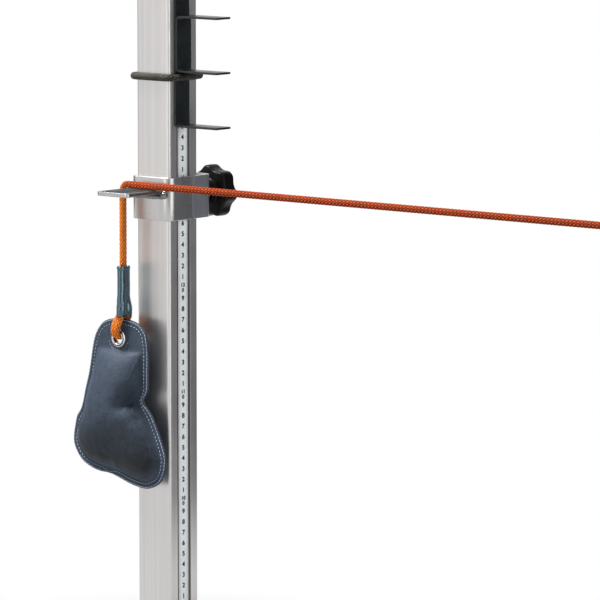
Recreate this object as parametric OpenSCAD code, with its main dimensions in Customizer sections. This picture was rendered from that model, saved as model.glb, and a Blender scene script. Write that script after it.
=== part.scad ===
// A section of a measuring upright with a sliding cord rest, a cord with a hanging
// leather weight bag, and a black tongue rack held on by an elastic ring.
// Millimetres. +Z is up, the upright stands on the origin, the cord runs along +X,
// the rest plate points along -Y and the clamp knob along +Y.

/* [Upright] */
// Width of the square upright profile
mast_w = 40; // [36:0.5:44]
// Wall thickness of the upright profile
mast_wall = 2.5; // [2:0.1:3.2]
// Outer corner radius of the upright profile
mast_corner_r = 3; // [1.5:0.1:4]
// Length of the upright section
mast_len = 670; // [660:1:1200]
// Width of the shallow channel that holds the scale tape
channel_w = 18.4; // [14:0.1:22]
// Depth of the tape channel
channel_d = 1.2; // [0.6:0.1:1.6]
// Width of the scale tape
tape_w = 13; // [10:0.5:13.5]
// Thickness of the scale tape
tape_t = 0.3; // [0.1:0.05:0.5]
// Margin between each end of the upright and the tape
tape_margin = 5; // [1:1:20]
// Radius of the screw ports in the corners of the profile
port_r = 2.1; // [1.6:0.1:2.5]
// Wall round each screw port
port_wall = 2; // [1.5:0.1:2.4]
// Distance from the profile's centre planes to the screw ports
port_offset = 13.6; // [12.6:0.1:14]
// How much wider than the port its tapped foot end is
foot_tap = 0.4; // [0.2:0.05:0.5]
// Depth of the tapped end
foot_tap_len = 30; // [15:1:60]

/* [End cap] */
// Thickness of the end cap's plate
cap_t = 3; // [2:0.5:6]
// Depth of the end cap's spigot
cap_spigot_d = 12; // [6:1:20]
// Wall of the end cap's spigot
spigot_wall = 2; // [1.5:0.5:4]
// Clearance round the spigot in the profile
spigot_fit = 0.2; // [0.1:0.05:0.5]
// Length of the end cap's screws
cap_screw_len = 16; // [10:1:30]
// Radius of the screws' countersunk heads
screw_head_r = 3.5; // [3:0.1:4]
// Thickness of those heads
screw_head_t = 1.6; // [1.2:0.1:1.9]
// Clearance of the screws in their ports
port_fit = 0.05; // [0.02:0.01:0.1]

/* [Clamp] */
// Height of the middle of the clamp on the upright
clamp_z = 407.5; // [390:0.5:412]
// Height of the clamp sleeve
clamp_h = 40; // [36:0.5:44]
// Thickness of the clamp plates
plate_t = 4; // [3:0.1:5]
// Gap between the clamp plates and the upright
clamp_gap = 0.6; // [0.4:0.05:1]
// How much the clamp's inner bends are wider than the upright's corners
bend_extra = 1.5; // [0.5:0.1:1.5]
// Distance from the upright's centre back to the seam between the clamp plates
seam_y = 8; // [2:0.5:14]
// Depth of the seam's weld preparation
seam_d = 1; // [0.5:0.1:1.5]
// Room behind the upright for the pressure pad
pad_room = 12; // [12:0.5:16]

/* [Clamp screw] */
// Radius of the clamp screw, over its thread
stud_r = 5; // [4:0.5:6]
// Running clearance of the screw in the boss
thread_fit = 0.05; // [0.02:0.01:0.1]
// Clearance hole round the screw in the clamp plate
web_fit = 0.5; // [0.3:0.1:1]
// Radius of the threaded boss
boss_r = 11; // [9:0.5:13]
// Length of the threaded boss
boss_len = 12; // [8:0.5:14]
// Size of the weld fillet round the boss
boss_weld_s = 2.5; // [1.5:0.5:4]
// Bare length of the screw between the boss and the knob
stud_bare = 3.5; // [3.2:0.1:8]
// Width and height of the pressure pad
pad_w = 30; // [26:0.5:34]
// Thickness of the pressure pad
pad_t = 7; // [6:0.5:7.5]
// Radius of the collar on the tip of the screw
collar_r = 6.6; // [6.5:0.1:8]
// Thickness of that collar
collar_t = 2.5; // [1.5:0.1:3]
// Clearance round the collar in the pad
collar_fit = 0.1; // [0.05:0.05:0.3]
// Radius of the retainer plate that traps the collar
retainer_r = 12; // [10.5:0.5:12.5]
// Thickness of the retainer plate
retainer_t = 1; // [0.5:0.1:1.5]
// Radius of the retainer's screws
retainer_screw_r = 1; // [0.7:0.1:1.2]
// Depth of the holes for those screws
retainer_screw_depth = 4; // [3:0.5:5]

/* [Knob] */
// Radius of the star knob over its lobes
knob_r = 25; // [22:0.5:30]
// Number of lobes on the knob
knob_lobes = 7; // [5:1:9]
// Depth of the valleys between the lobes
knob_valley = 3.2; // [2.6:0.1:6]
// Radius of those valleys
valley_r = 16; // [10:0.5:22]
// Thickness of the star
knob_t = 16; // [12:0.5:22]
// Width of the chamfer round both faces of the star
knob_chamfer = 2; // [1:0.25:3]
// Radius of the knob's hub
hub_r = 12; // [10:0.5:16]
// Length of the hub in front of the star
hub_len = 5; // [2:0.5:9]
// Radius of the threaded insert in the knob
insert_r = 7.5; // [7:0.5:9]
// Length of that insert
insert_len = 15; // [8:0.5:18]
// Angle of the first lobe from the horizontal
lobe_phase = 8; // [0:1:51]

/* [Rest plate] */
// Width of the cord rest plate
rest_w = 38.6; // [34:0.2:40]
// Length of the rest plate out from the clamp
rest_len = 52; // [45:0.5:60]
// Thickness of the rest plate
rest_t = 4; // [3:0.1:5]
// Height of the rest plate's top above the middle of the clamp
rest_rise = 9.5; // [4:0.5:14]
// Radius of the rest plate's outer corners
rest_corner_r = 3.5; // [2:0.1:8]
// Radius of the rest plate's long edges
rest_edge_r = 1.5; // [0.5:0.1:1.5]
// Size of the weld fillet under the rest plate
rest_weld_s = 4; // [2:0.5:5]

/* [Tongue rack] */
// Width of the rack's flat bar
bar_w = 20; // [16:0.5:22]
// Thickness of the flat bar
bar_t = 2; // [1.5:0.1:3]
// Sideways offset of the bar from the upright's middle
bar_y = -3; // [-5:0.5:0]
// Inner bend radius of the bar
bar_bend = 2; // [1:0.5:4]
// Height of the lowest tongue's underside
tongue_z = 474; // [470:0.5:480]
// Height from one tongue to the next
tongue_pitch = 50.5; // [45:0.5:52]
// Distance from the upright's centre to the tongues' tips
tongue_reach = 72; // [60:1:90]
// Length of the weld beads between the two brackets
bar_weld_len = 12; // [6:1:16]
// Size of those weld beads
bar_weld_s = 1.8; // [1:0.1:2]

/* [Elastic ring] */
// Diameter of the elastic cord of the ring
elastic_d = 6.5; // [5:0.25:7]
// Gap between the elastic and what it lies on
elastic_gap = 0.1; // [0.05:0.05:0.3]
// Distance from the ring's middle up to the tongue above it
elastic_drop = 4.5; // [4:0.25:8]
// Length of the ferrule that joins the ring at the back
ferrule_len = 14; // [8:1:20]
// Wall of the ferrule
ferrule_wall = 0.8; // [0.5:0.1:1.2]

/* [Cord and bag] */
// Diameter of the cord
cord_d = 6; // [5:0.25:6]
// Gap between the cord and the rest plate
cord_gap = 0.1; // [0.05:0.05:0.3]
// Wall of the shrink sleeves
sleeve_wall = 0.9; // [0.5:0.1:1.5]
// Clearance between a sleeve and the cord in it
sleeve_fit = 0.1; // [0.05:0.05:0.2]
// Thickness of the bag's leather
leather_t = 1.6; // [1:0.1:2]
// Height of the front of the bag over its flat edge
crown_front = 16; // [10:0.5:20]
// Height of the back of the bag over its flat edge
crown_back = 11; // [8:0.5:12]
// Width of the flat stitched edge of the bag
edge_w = 6.5; // [4:0.5:9]
// Gap below the eyelet's ring before the bag starts to swell
crown_gap = 1.6; // [0.4:0.1:6]
// How much the filling leans to the side of the bag
filling_lean = 0.45; // [0:0.05:0.6]
// Clearance between the filling and the leather
filling_fit = 0.05; // [0.02:0.01:0.2]
// Radius of the eyelet's hole
eyelet_hole_r = 5.25; // [5.2:0.05:6]
// Outer radius of the eyelet
eyelet_r = 9; // [8.5:0.25:10.5]
// Height of the eyelet's ring over the leather
eyelet_h = 1.2; // [0.8:0.1:1.4]
// Wall of the eyelet's barrel
barrel_wall = 0.6; // [0.4:0.1:0.8]
// Thickness of the eyelet's washer
washer_t = 0.8; // [0.5:0.1:1.2]
// Clearance round the eyelet's barrel
eyelet_fit = 0.05; // [0.02:0.01:0.1]

/* [Hidden] */
$fn = 64;

mast_half = mast_w / 2;
channel_floor = mast_half - channel_d;
wall_edge = mast_half - mast_wall;

clamp_in = mast_half + clamp_gap;
clamp_out = clamp_in + plate_t;
bend_in = mast_corner_r + bend_extra;
bend_out = bend_in + plate_t;
rear_in = mast_half + pad_room;
rear_out = rear_in + plate_t;
clamp_low = clamp_z - clamp_h / 2;

boss_end = rear_out + boss_len;
pad_back = mast_half + pad_t;
collar_y = pad_back - collar_t - collar_fit;
knob_y = boss_end + stud_bare;
star_y = knob_y + hub_len;

rest_top = clamp_z + rest_rise;
rest_low = rest_top - rest_t;
rest_half = rest_w / 2;
rest_tip = -clamp_out - rest_len;

rack_in = mast_half;
rack_out = rack_in + bar_t;
tongue_z1 = tongue_z + tongue_pitch;
tongue_z2 = tongue_z + 2 * tongue_pitch;
tongue_z3 = tongue_z + 3 * tongue_pitch;
elastic_z = tongue_z1 - elastic_drop;

cord_r = cord_d / 2;
cord_sides = 10;
sleeve_in = cord_r + sleeve_fit;
sleeve_out = sleeve_in + sleeve_wall;

// Plane in which the cord runs and the bag hangs, and the lines of its drop and its run
cord_y = -36.5;
cord_x = -22.4;
run_z = 420.1;

// How far the plate's edge and top lie from where the route points have them
cord_shift = -(rest_half + cord_r + cord_gap) - cord_x;
cord_lift = rest_top + cord_r + cord_gap - run_z;

// The cord's run over the rest plate, from below its left edge to the far sleeve
run_path = [
    [-22.4, -36.5, 413], [-22.4, -36.5, 415.5], [-22.05, -36.5, 417.3], [-21.05, -36.5, 418.75],
    [-19.6, -36.5, 419.75], [-17.8, -36.5, 420.1], [-8, -36.5, 420.1], [10, -36.5, 420.1],
    [28, -36.5, 420.1], [46, -36.5, 420.1], [64, -36.5, 420.1], [82, -36.5, 420.1],
    [100, -36.5, 420.1], [120, -36.5, 420.1], [140, -36.5, 420.1], [160, -36.5, 420.1],
    [180, -36.5, 420.1], [200, -36.5, 420.1], [220, -36.5, 420.1], [240, -36.5, 420.1],
    [260, -36.5, 420.1], [280, -36.5, 420.1], [300, -36.5, 420.1], [320, -36.5, 420.1],
    [340, -36.5, 420.1], [360, -36.5, 420.1], [380, -36.5, 420.1], [400, -36.5, 420.1],
    [420, -36.5, 420.1], [440, -36.5, 420.1], [460, -36.5, 420.1], [480, -36.5, 420.1],
    [500, -36.5, 420.1], [520, -36.5, 420.1], [540, -36.5, 420.1]
];
bend_path = [[-22.4, -36.5, 405], [-22.4, -36.5, 413]];
drop_path = [
    [-22.4, -36.5, 345], [-22.4, -36.5, 360], [-22.4, -36.5, 375], [-22.4, -36.5, 390],
    [-22.4, -36.5, 405]
];
// The loop through the eyelet: down the back strand, through and up the front strand
eye_path = [
    [-22.4, -36.5, 345], [-22.4, -36.5, 343.4], [-22.4, -35.4, 340], [-22.4, -33.8, 335],
    [-22.4, -33.35, 330], [-22.4, -33.35, 314], [-22.4, -32.6, 304], [-22.4, -31.3, 297.4],
    [-23.7, -30.3, 293], [-25.2, -29.7, 289], [-26.4, -29.5, 285], [-27, -30.2, 281],
    [-27.1, -32.9, 278], [-27.1, -36.5, 277.2], [-27.1, -39.9, 278], [-27, -42.7, 281],
    [-26.4, -43.7, 285], [-25.2, -43.6, 289], [-23.7, -42.8, 293], [-22.4, -41.7, 297.4],
    [-22.4, -40.4, 304], [-22.4, -39.65, 314], [-22.4, -39.65, 328], [-22.4, -39.65, 333]
];
// The far end's open loop
far_path = [
    [540, -36.5, 420.1], [541.6, -36.5, 420.1], [545, -35.4, 420.1], [550, -33.8, 420.1],
    [555, -33.35, 420.1], [575, -33.35, 420.1], [586, -32.2, 420.1], [596, -28.6, 420.1],
    [606, -26.4, 420.1], [614, -28.4, 420.1], [619, -32.2, 420.1], [621, -36.5, 420.1],
    [619, -40.8, 420.1], [614, -44.6, 420.1], [606, -46.6, 420.1], [596, -44.4, 420.1],
    [586, -40.8, 420.1], [575, -39.65, 420.1], [557, -39.65, 420.1], [552, -39.65, 420.1]
];
far_sleeve_x = 541;
far_sleeve_len = 47;
bag_sleeve_z = 297.5;
bag_sleeve_len = 46.5;

// Centre of the eyelet
eyelet_x = -27.2;
eyelet_z = 276.4;
// Point that the bag's outline is drawn from, and the outline: right of the top, down and round
bag_x = -23.6;
bag_z = 276.4;
outline = [
    [2.5, 18.5], [13.5, 17.2], [22, 14.2], [28.5, 8], [31.5, -0.5], [32.5, -14.5], [32.2, -29.5],
    [32, -44.5], [29.5, -50.5], [25.2, -56], [28, -60.5], [32, -63.5], [38, -71], [44, -83.5],
    [50.5, -97], [54, -107], [54, -113.5], [51.5, -123], [45, -132.3], [34.3, -137.5],
    [25.4, -138.3], [13, -136.2], [-1, -132.2], [-12, -129], [-19.6, -127.8], [-28.5, -127.3],
    [-38.6, -124.8], [-49.2, -119.8], [-56.5, -112.5], [-60.9, -104], [-61.3, -96], [-59.5, -86.6],
    [-57, -77.5], [-52, -70.5], [-49, -62.5], [-45.3, -47.8], [-41.2, -33.4], [-38.6, -22],
    [-36.5, -9.5], [-33.8, 0.1], [-29.2, 7.8], [-23.4, 13.6], [-15.7, 16.9], [-8, 18]
];
crown_c = [2, -88];
crown_top = eyelet_r + crown_gap;
crown_steps = [1, 0.94, 0.8, 0.6, 0.35];
// The crown's rings grow rounder towards its middle, up to a circle of this radius
crown_round_r = 48;
// Steepness of the crown's edge and flatness of its top
crown_edge_power = 0.75;
crown_top_power = 2.2;

function unit(v) = v / norm(v);

// Rings of a tube along a path, square to it, with side across the path's plane
function path_rings(path, r, sides, side, closed = false) = let (last = len(path) - 1) [
    for (i = [0:last])
        let (
            ahead = path[i < last ? i + 1 : closed ? 0 : last],
            behind = path[i > 0 ? i - 1 : closed ? last : 0],
            t = unit(ahead - behind),
            a = unit(side - t * (side * t)),
            b = cross(t, a)
        )
        [for (k = [0:sides - 1]) path[i] + r * (cos(360 * k / sides) * a + sin(360 * k / sides) * b)]
];

// Two triangles to each place between two rings, split along one diagonal or the other
function band(i, j, n, other = false) = [
    for (k = [0:n - 1])
        let (a = i * n + k, b = i * n + (k + 1) % n, c = j * n + (k + 1) % n, d = j * n + k)
        each other ? [[a, d, b], [b, d, c]] : [[a, d, c], [a, c, b]]
];

// A closed skin over rings of equal count, capped at both ends with a point
module capped_skin(rings, first_tip, last_tip, other = false) {
    n = len(rings[0]);
    m = len(rings);
    tip = n * m;
    polyhedron(
        points = concat([for (r = rings) each r], [first_tip, last_tip]),
        faces = concat(
            [for (i = [0:m - 2]) each band(i, i + 1, n, other)],
            [for (k = [0:n - 1]) [k, (k + 1) % n, tip]],
            [for (k = [0:n - 1]) [tip - n + (k + 1) % n, tip - n + k, tip + 1]]
        ),
        convexity = 8
    );
}

// A closed skin whose last ring joins its first
module looped_skin(rings) {
    n = len(rings[0]);
    m = len(rings);
    polyhedron(
        points = [for (r = rings) each r],
        faces = [for (i = [0:m - 1]) each band(i, (i + 1) % m, n)],
        convexity = 8
    );
}

module tube(path, side) {
    capped_skin(path_rings(path, cord_r, cord_sides, side), path[0], path[len(path) - 1]);
}

module rounded_rect(w, d, r) {
    union() {
        square([w - 2 * r, d], center = true);
        square([w, d - 2 * r], center = true);
        for (x = [-1, 1], y = [-1, 1])
            translate([x * (w / 2 - r), y * (d / 2 - r)]) circle(r);
    }
}

// A cylinder along +Y
module y_cylinder(r, y0, y1) {
    translate([0, y0, clamp_z]) rotate([-90, 0, 0]) cylinder(r = r, h = y1 - y0);
}

module at_ports() {
    for (x = [-1, 1], y = [-1, 1]) translate([x * port_offset, y * port_offset]) children();
}

// Upright

module mast_hollow() {
    difference() {
        translate([-wall_edge, -wall_edge]) square([wall_edge + channel_floor - mast_wall, 2 * wall_edge]);
        at_ports() circle(port_r + port_wall);
        for (x = [-1, 1], y = [-1, 1])
            translate([x * (port_offset + mast_half) / 2, y * (port_offset + mast_half) / 2])
                square(mast_half - port_offset, center = true);
    }
}

module mast_profile() {
    color([0.78, 0.77, 0.76])
        difference() {
            linear_extrude(mast_len) difference() {
                rounded_rect(mast_w, mast_w, mast_corner_r);
                mast_hollow();
                at_ports() circle(port_r);
                translate([channel_floor, -channel_w / 2]) square([channel_d + 1, channel_w]);
            }
            at_ports() translate([0, 0, -1]) cylinder(r = port_r + foot_tap, h = foot_tap_len + 1);
        }
}

spigot_r = min(port_offset * sqrt(2) - port_r - port_wall, channel_floor - mast_wall) - spigot_fit;
cap_top = mast_len + cap_t;
head_low = cap_top - screw_head_t;

module mast_top_cap() {
    color([0.06, 0.06, 0.06])
        difference() {
            union() {
                translate([0, 0, mast_len]) linear_extrude(cap_t) rounded_rect(mast_w, mast_w, mast_corner_r);
                translate([0, 0, mast_len - cap_spigot_d]) cylinder(r = spigot_r, h = cap_spigot_d);
            }
            translate([0, 0, mast_len - cap_spigot_d - 1])
                cylinder(r = spigot_r - spigot_wall, h = cap_spigot_d + 1);
            at_ports() translate([0, 0, mast_len - 1]) cylinder(r = port_r, h = cap_t + 2);
            at_ports() translate([0, 0, head_low]) cylinder(r = screw_head_r + 0.2, h = screw_head_t + 1);
        }
}

module cap_screws() {
    color("silver")
        at_ports() {
            translate([0, 0, cap_top - cap_screw_len])
                cylinder(r = port_r - port_fit, h = cap_screw_len - screw_head_t);
            translate([0, 0, head_low]) difference() {
                cylinder(r = screw_head_r, h = screw_head_t);
                translate([0, 0, screw_head_t / 2]) cylinder(r = screw_head_r / 2, h = 2, $fn = 6);
            }
        }
}

module scale_tape() {
    color([0.88, 0.89, 0.88])
        translate([channel_floor, -tape_w / 2, tape_margin])
            cube([tape_t, tape_w, mast_len - 2 * tape_margin]);
}

// Clamp

module clamp_outline(side, front, rear, r) {
    translate([0, (rear - front) / 2]) rounded_rect(2 * side, rear + front, r);
}

module clamp_section() {
    difference() {
        clamp_outline(clamp_out, clamp_out, rear_out, bend_out);
        clamp_outline(clamp_in, clamp_in, rear_in, bend_in);
        for (x = [-1, 1])
            translate([x * clamp_out, seam_y]) rotate(45) square(seam_d * sqrt(2), center = true);
    }
}

module clamp_plate_half(y0, y1) {
    translate([0, 0, clamp_low]) linear_extrude(clamp_h) intersection() {
        clamp_section();
        translate([-clamp_out - 1, y0]) square([2 * clamp_out + 2, y1 - y0]);
    }
}

module clamp_front_plate() {
    color([0.66, 0.66, 0.66]) clamp_plate_half(-clamp_out - 1, seam_y);
}

module clamp_rear_plate() {
    color([0.45, 0.46, 0.49])
        difference() {
            clamp_plate_half(seam_y, rear_out + 1);
            y_cylinder(stud_r + web_fit, rear_in - 1, rear_out + 1);
        }
}

module clamp_seam_welds() {
    crown = 0.15;
    color([0.6, 0.6, 0.6])
        for (x = [-1, 1])
            translate([x * clamp_out, seam_y, clamp_low]) linear_extrude(clamp_h)
                polygon([[-x * seam_d, 0], [0, -seam_d], [x * crown, 0], [0, seam_d]]);
}

module clamp_boss() {
    color([0.55, 0.56, 0.58])
        difference() {
            y_cylinder(boss_r, rear_out, boss_end);
            y_cylinder(stud_r + thread_fit, rear_out - 1, boss_end + 1);
        }
}

module boss_weld() {
    color([0.5, 0.5, 0.5])
        translate([0, rear_out, clamp_z]) rotate([-90, 0, 0]) rotate_extrude()
            polygon([[boss_r, 0], [boss_r + boss_weld_s, 0], [boss_r, boss_weld_s]]);
}

// Rest plate

module rest_plate() {
    color([0.6, 0.61, 0.63])
        intersection() {
            translate([0, -clamp_out, (rest_top + rest_low) / 2]) rotate([90, 0, 0])
                linear_extrude(rest_len) rounded_rect(rest_w, rest_t, rest_edge_r);
            translate([0, 0, rest_low - 1]) linear_extrude(rest_t + 2) union() {
                translate([0, rest_tip + rest_len / 2]) rounded_rect(rest_w, rest_len, rest_corner_r);
                translate([-rest_half, -clamp_out - rest_len / 2]) square([rest_w, rest_len / 2]);
            }
        }
}

module rest_welds() {
    color([0.5, 0.5, 0.51])
        difference() {
            union() {
                translate([-rest_half + 1, 0, 0]) rotate([90, 0, 90]) linear_extrude(rest_w - 2)
                    polygon([
                        [-clamp_out, rest_low], [-clamp_out - rest_weld_s, rest_low],
                        [-clamp_out, rest_low - rest_weld_s]
                    ]);
                for (x = [-1, 1])
                    translate([x * rest_half, -clamp_out, rest_low - rest_weld_s / 2])
                        linear_extrude(rest_t + rest_weld_s / 2)
                            polygon([[0, -rest_weld_s], [x * (rest_weld_s - 1), 0], [x * (rest_weld_s - 1), 1], [0, 2]]);
            }
            translate([0, 0, clamp_low]) linear_extrude(clamp_h)
                clamp_outline(clamp_out, clamp_out, rear_out, bend_out);
        }
}

// Clamp screw and pressure pad

module at_retainer_screws() {
    for (x = [-1, 1], z = [-1, 1])
        translate([x * (retainer_r + collar_r) / 2 * sin(45), 0, z * (retainer_r + collar_r) / 2 * cos(45)])
            children();
}

module pressure_pad() {
    color([0.1, 0.1, 0.1])
        difference() {
            translate([0, mast_half, clamp_z]) rotate([-90, 0, 0]) linear_extrude(pad_t)
                rounded_rect(pad_w, pad_w, 3);
            y_cylinder(collar_r + collar_fit, collar_y - collar_fit, pad_back + 1);
            at_retainer_screws() y_cylinder(retainer_screw_r, pad_back - retainer_screw_depth, pad_back + 1);
        }
}

module pad_retainer() {
    color([0.7, 0.7, 0.72])
        difference() {
            y_cylinder(retainer_r, pad_back, pad_back + retainer_t);
            y_cylinder(stud_r + thread_fit, pad_back - 1, pad_back + retainer_t + 1);
            at_retainer_screws() y_cylinder(retainer_screw_r, pad_back - 1, pad_back + retainer_t + 1);
        }
}

module retainer_screws() {
    head_y = pad_back + retainer_t;
    color("silver")
        at_retainer_screws() {
            y_cylinder(retainer_screw_r - 0.02, pad_back - retainer_screw_depth + 0.2, head_y);
            y_cylinder(retainer_screw_r + 0.5, head_y, head_y + 0.6);
        }
}

module clamp_screw() {
    color([0.6, 0.6, 0.62])
        union() {
            y_cylinder(stud_r, collar_y, knob_y + insert_len);
            y_cylinder(collar_r, collar_y, collar_y + collar_t);
        }
}

module knob_insert() {
    color([0.7, 0.55, 0.25])
        difference() {
            y_cylinder(insert_r, knob_y, knob_y + insert_len);
            y_cylinder(stud_r + 0.02, knob_y - 1, knob_y + insert_len + 1);
        }
}

module star_outline(inset) {
    round_r = 2;
    offset(r = round_r, $fn = 32) offset(delta = -round_r - inset) difference() {
        circle(knob_r);
        for (i = [0:knob_lobes - 1]) rotate((i + 0.5) * 360 / knob_lobes)
            translate([knob_r + valley_r - knob_valley, 0]) circle(valley_r, $fn = 48);
    }
}

module knob_star() {
    color([0.05, 0.05, 0.05])
        difference() {
            union() {
                y_cylinder(hub_r, knob_y, star_y + 1);
                translate([0, star_y, clamp_z]) rotate([-90, 0, 0]) rotate(-lobe_phase) {
                    translate([0, 0, knob_chamfer]) linear_extrude(knob_t - 2 * knob_chamfer) star_outline(0);
                    linear_extrude(knob_t) star_outline(knob_chamfer * 0.8);
                    translate([0, 0, knob_chamfer / 2]) linear_extrude(knob_t - knob_chamfer)
                        star_outline(knob_chamfer * 0.3);
                }
            }
            y_cylinder(insert_r, knob_y - 1, knob_y + insert_len);
        }
}

// Tongue rack

// One flat bar bent into a U whose arms point along +X
module bar_bracket(inner, low, high) {
    outer_r = bar_bend + bar_t;
    arm = tongue_reach - inner;
    translate([inner, bar_y + bar_w / 2, low]) rotate([90, 0, 0]) linear_extrude(bar_w)
        difference() {
            union() {
                translate([outer_r, 0]) square([arm - outer_r, high - low]);
                translate([0, outer_r]) square([outer_r, high - low - 2 * outer_r]);
                for (z = [outer_r, high - low - outer_r]) translate([outer_r, z]) circle(outer_r);
            }
            translate([outer_r, bar_t]) square([arm, high - low - 2 * bar_t]);
            translate([bar_t, outer_r]) square([outer_r, high - low - 2 * outer_r]);
            for (z = [outer_r, high - low - outer_r]) translate([outer_r, z]) circle(bar_bend);
        }
}

module rack_long_bracket() {
    color([0.08, 0.09, 0.09]) bar_bracket(rack_in, tongue_z, tongue_z3 + bar_t);
}

module rack_short_bracket() {
    color([0.1, 0.11, 0.11]) bar_bracket(rack_out, tongue_z1, tongue_z2 + bar_t);
}

module rack_welds() {
    color([0.12, 0.12, 0.12])
        for (z = [tongue_z1 + 8, tongue_z2 - 6 - bar_weld_len])
            translate([rack_in, bar_y + bar_w / 2, z]) linear_extrude(bar_weld_len)
                polygon([[bar_t - bar_weld_s, 0], [bar_t + bar_weld_s, 0], [bar_t, bar_weld_s]]);
}

// Elastic ring

elastic_r = elastic_d / 2;
elastic_out = elastic_r + elastic_gap;
ferrule_in = elastic_r + elastic_gap / 2;
elastic_corner = mast_half - mast_corner_r;
elastic_bend = mast_corner_r + elastic_out;
bar_near = bar_y - bar_w / 2;
bar_far = bar_y + bar_w / 2;

function corner_points(x, y, from) = [
    for (a = [from:22.5:from + 90]) [x + elastic_bend * cos(a), y + elastic_bend * sin(a), elastic_z]
];

elastic_path = concat(
    corner_points(elastic_corner, -elastic_corner, -90),
    [
        [rack_out + elastic_out - 0.4, bar_near - 1.8, elastic_z],
        [rack_out + elastic_out, bar_near + 1, elastic_z],
        [rack_out + elastic_out, bar_y, elastic_z],
        [rack_out + elastic_out, bar_far - 1, elastic_z],
        [rack_out + elastic_out - 0.3, bar_far + 1.5, elastic_z]
    ],
    corner_points(elastic_corner, elastic_corner, 0),
    corner_points(-elastic_corner, elastic_corner, 90),
    corner_points(-elastic_corner, -elastic_corner, 180)
);

module elastic_ring() {
    color([0.12, 0.12, 0.11])
        looped_skin(path_rings(elastic_path, elastic_r, 12, [0, 0, 1], closed = true));
}

module elastic_ferrule() {
    color([0.5, 0.5, 0.52])
        translate([-ferrule_len / 2, mast_half + elastic_out, elastic_z]) rotate([0, 90, 0])
            difference() {
                cylinder(r = ferrule_in + ferrule_wall, h = ferrule_len);
                translate([0, 0, -1]) cylinder(r = ferrule_in, h = ferrule_len + 2);
                translate([-elastic_d, -elastic_d - elastic_r, -1])
                    cube([2 * elastic_d, elastic_d, ferrule_len + 2]);
            }
}

// Cord

// Carries the cord and the bag along with the rest plate's edge
module on_rest() {
    translate([cord_shift, 0, cord_lift]) children();
}

module cord_run() {
    color([0.8, 0.38, 0.12]) on_rest() tube(run_path, [0, 1, 0]);
}

module cord_bend() {
    color([0.8, 0.38, 0.12]) on_rest() tube(bend_path, [0, 1, 0]);
}

module cord_drop() {
    color([0.8, 0.4, 0.14]) on_rest() tube(drop_path, [0, 1, 0]);
}

module cord_eye() {
    color([0.8, 0.45, 0.2]) on_rest() tube(eye_path, [1, 0, 0]);
}

module far_eye() {
    color([0.8, 0.4, 0.14]) on_rest() tube(far_path, [0, 0, 1]);
}

// Section of a sleeve round two strands, drawn across the path and spread along Y
function oval(spread, r, z) = [
    for (k = [0:23])
        let (a = 15 * k + 7.5)
        [r * cos(a), (sin(a) > 0 ? spread : -spread) + r * sin(a), z]
];

// A sleeve from its loop end at the origin upwards, wider at the mouth where the strands part
module shrink_sleeve(length) {
    steps = [[0, 5.9], [6, 4.4], [16, 3.35], [length, 3.2]];
    outside = [for (s = steps) oval(s[1], sleeve_out, s[0])];
    inside = [for (i = [len(steps) - 1:-1:0]) oval(steps[i][1], sleeve_in, steps[i][0])];
    looped_skin(concat(outside, inside));
}

module bag_sleeve() {
    color([0.1, 0.13, 0.17])
        on_rest() translate([cord_x, cord_y, bag_sleeve_z]) shrink_sleeve(bag_sleeve_len);
}

module far_sleeve() {
    color([0.1, 0.13, 0.17])
        on_rest() translate([far_sleeve_x + far_sleeve_len, cord_y, run_z]) rotate([0, -90, 0])
            shrink_sleeve(far_sleeve_len);
}

// Bag

function crown_edge(p) = let (
    v = p - crown_c,
    reach = norm(v) - edge_w,
    roof = v[1] > 0 ? (eyelet_z - bag_z - crown_top - crown_c[1]) / (v[1] / norm(v)) : 1000
) crown_c + unit(v) * min(reach, roof);

crown_outline = [for (p = outline) crown_edge(p)];

function crown_point(p, s) = let (v = p - crown_c)
    crown_c + unit(v) * s * pow(norm(v), s) * pow(crown_round_r, 1 - s);
function crown_height(q, s, h) =
    h * pow(1 - pow(s, crown_top_power), crown_edge_power)
    * (1 + filling_lean * (q[0] - crown_c[0]) / crown_round_r);
function bag_point(q, y) = [bag_x + q[0], cord_y + y, bag_z + q[1]];

// One ring of the swollen surface, facing -1 for the front and 1 for the back
function crown_ring(s, h, facing, lift) = [
    for (p = crown_outline)
        let (q = crown_point(p, s))
        bag_point(q, facing * (lift + crown_height(q, s, h)))
];

function edge_ring(y) = [for (p = outline) bag_point(p, y)];

function tip_point(h, facing, lift) = bag_point(crown_c, facing * (lift + h));

module leather_panel(h, facing) {
    outer = [for (s = crown_steps) crown_ring(s, h, facing, leather_t)];
    inner = [for (s = crown_steps) crown_ring(s, h, facing, 0)];
    count = len(crown_steps) - 1;
    front = facing < 0;
    first = front ? outer : inner;
    last = front ? inner : outer;
    rings = concat(
        [for (i = [count:-1:0]) first[i]],
        [edge_ring(front ? -leather_t : 0), edge_ring(front ? 0 : leather_t)],
        [for (i = [0:count]) last[i]]
    );
    on_rest() difference() {
        capped_skin(
            rings,
            tip_point(h, facing, front ? leather_t : 0),
            tip_point(h, facing, front ? 0 : leather_t)
        );
        eyelet_place() translate([0, 0, -10]) cylinder(r = barrel_r + eyelet_fit, h = 20);
    }
}

module bag_front_panel() {
    color([0.2, 0.24, 0.3]) leather_panel(crown_front, -1);
}

module bag_back_panel() {
    color([0.2, 0.24, 0.3]) leather_panel(crown_back, 1);
}

module bag_filling() {
    count = len(crown_steps) - 1;
    front = [for (i = [count:-1:1]) crown_ring(crown_steps[i], crown_front, -1, -filling_fit)];
    back = [for (i = [1:count]) crown_ring(crown_steps[i], crown_back, 1, -filling_fit)];
    // Split like the insides of the panels, so that the surfaces follow each other
    color([0.75, 0.68, 0.52])
        on_rest() capped_skin(
            concat(front, [crown_ring(1, 0, 1, 0)], back),
            tip_point(crown_front, -1, -filling_fit),
            tip_point(crown_back, 1, -filling_fit),
            other = true
        );
}

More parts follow.
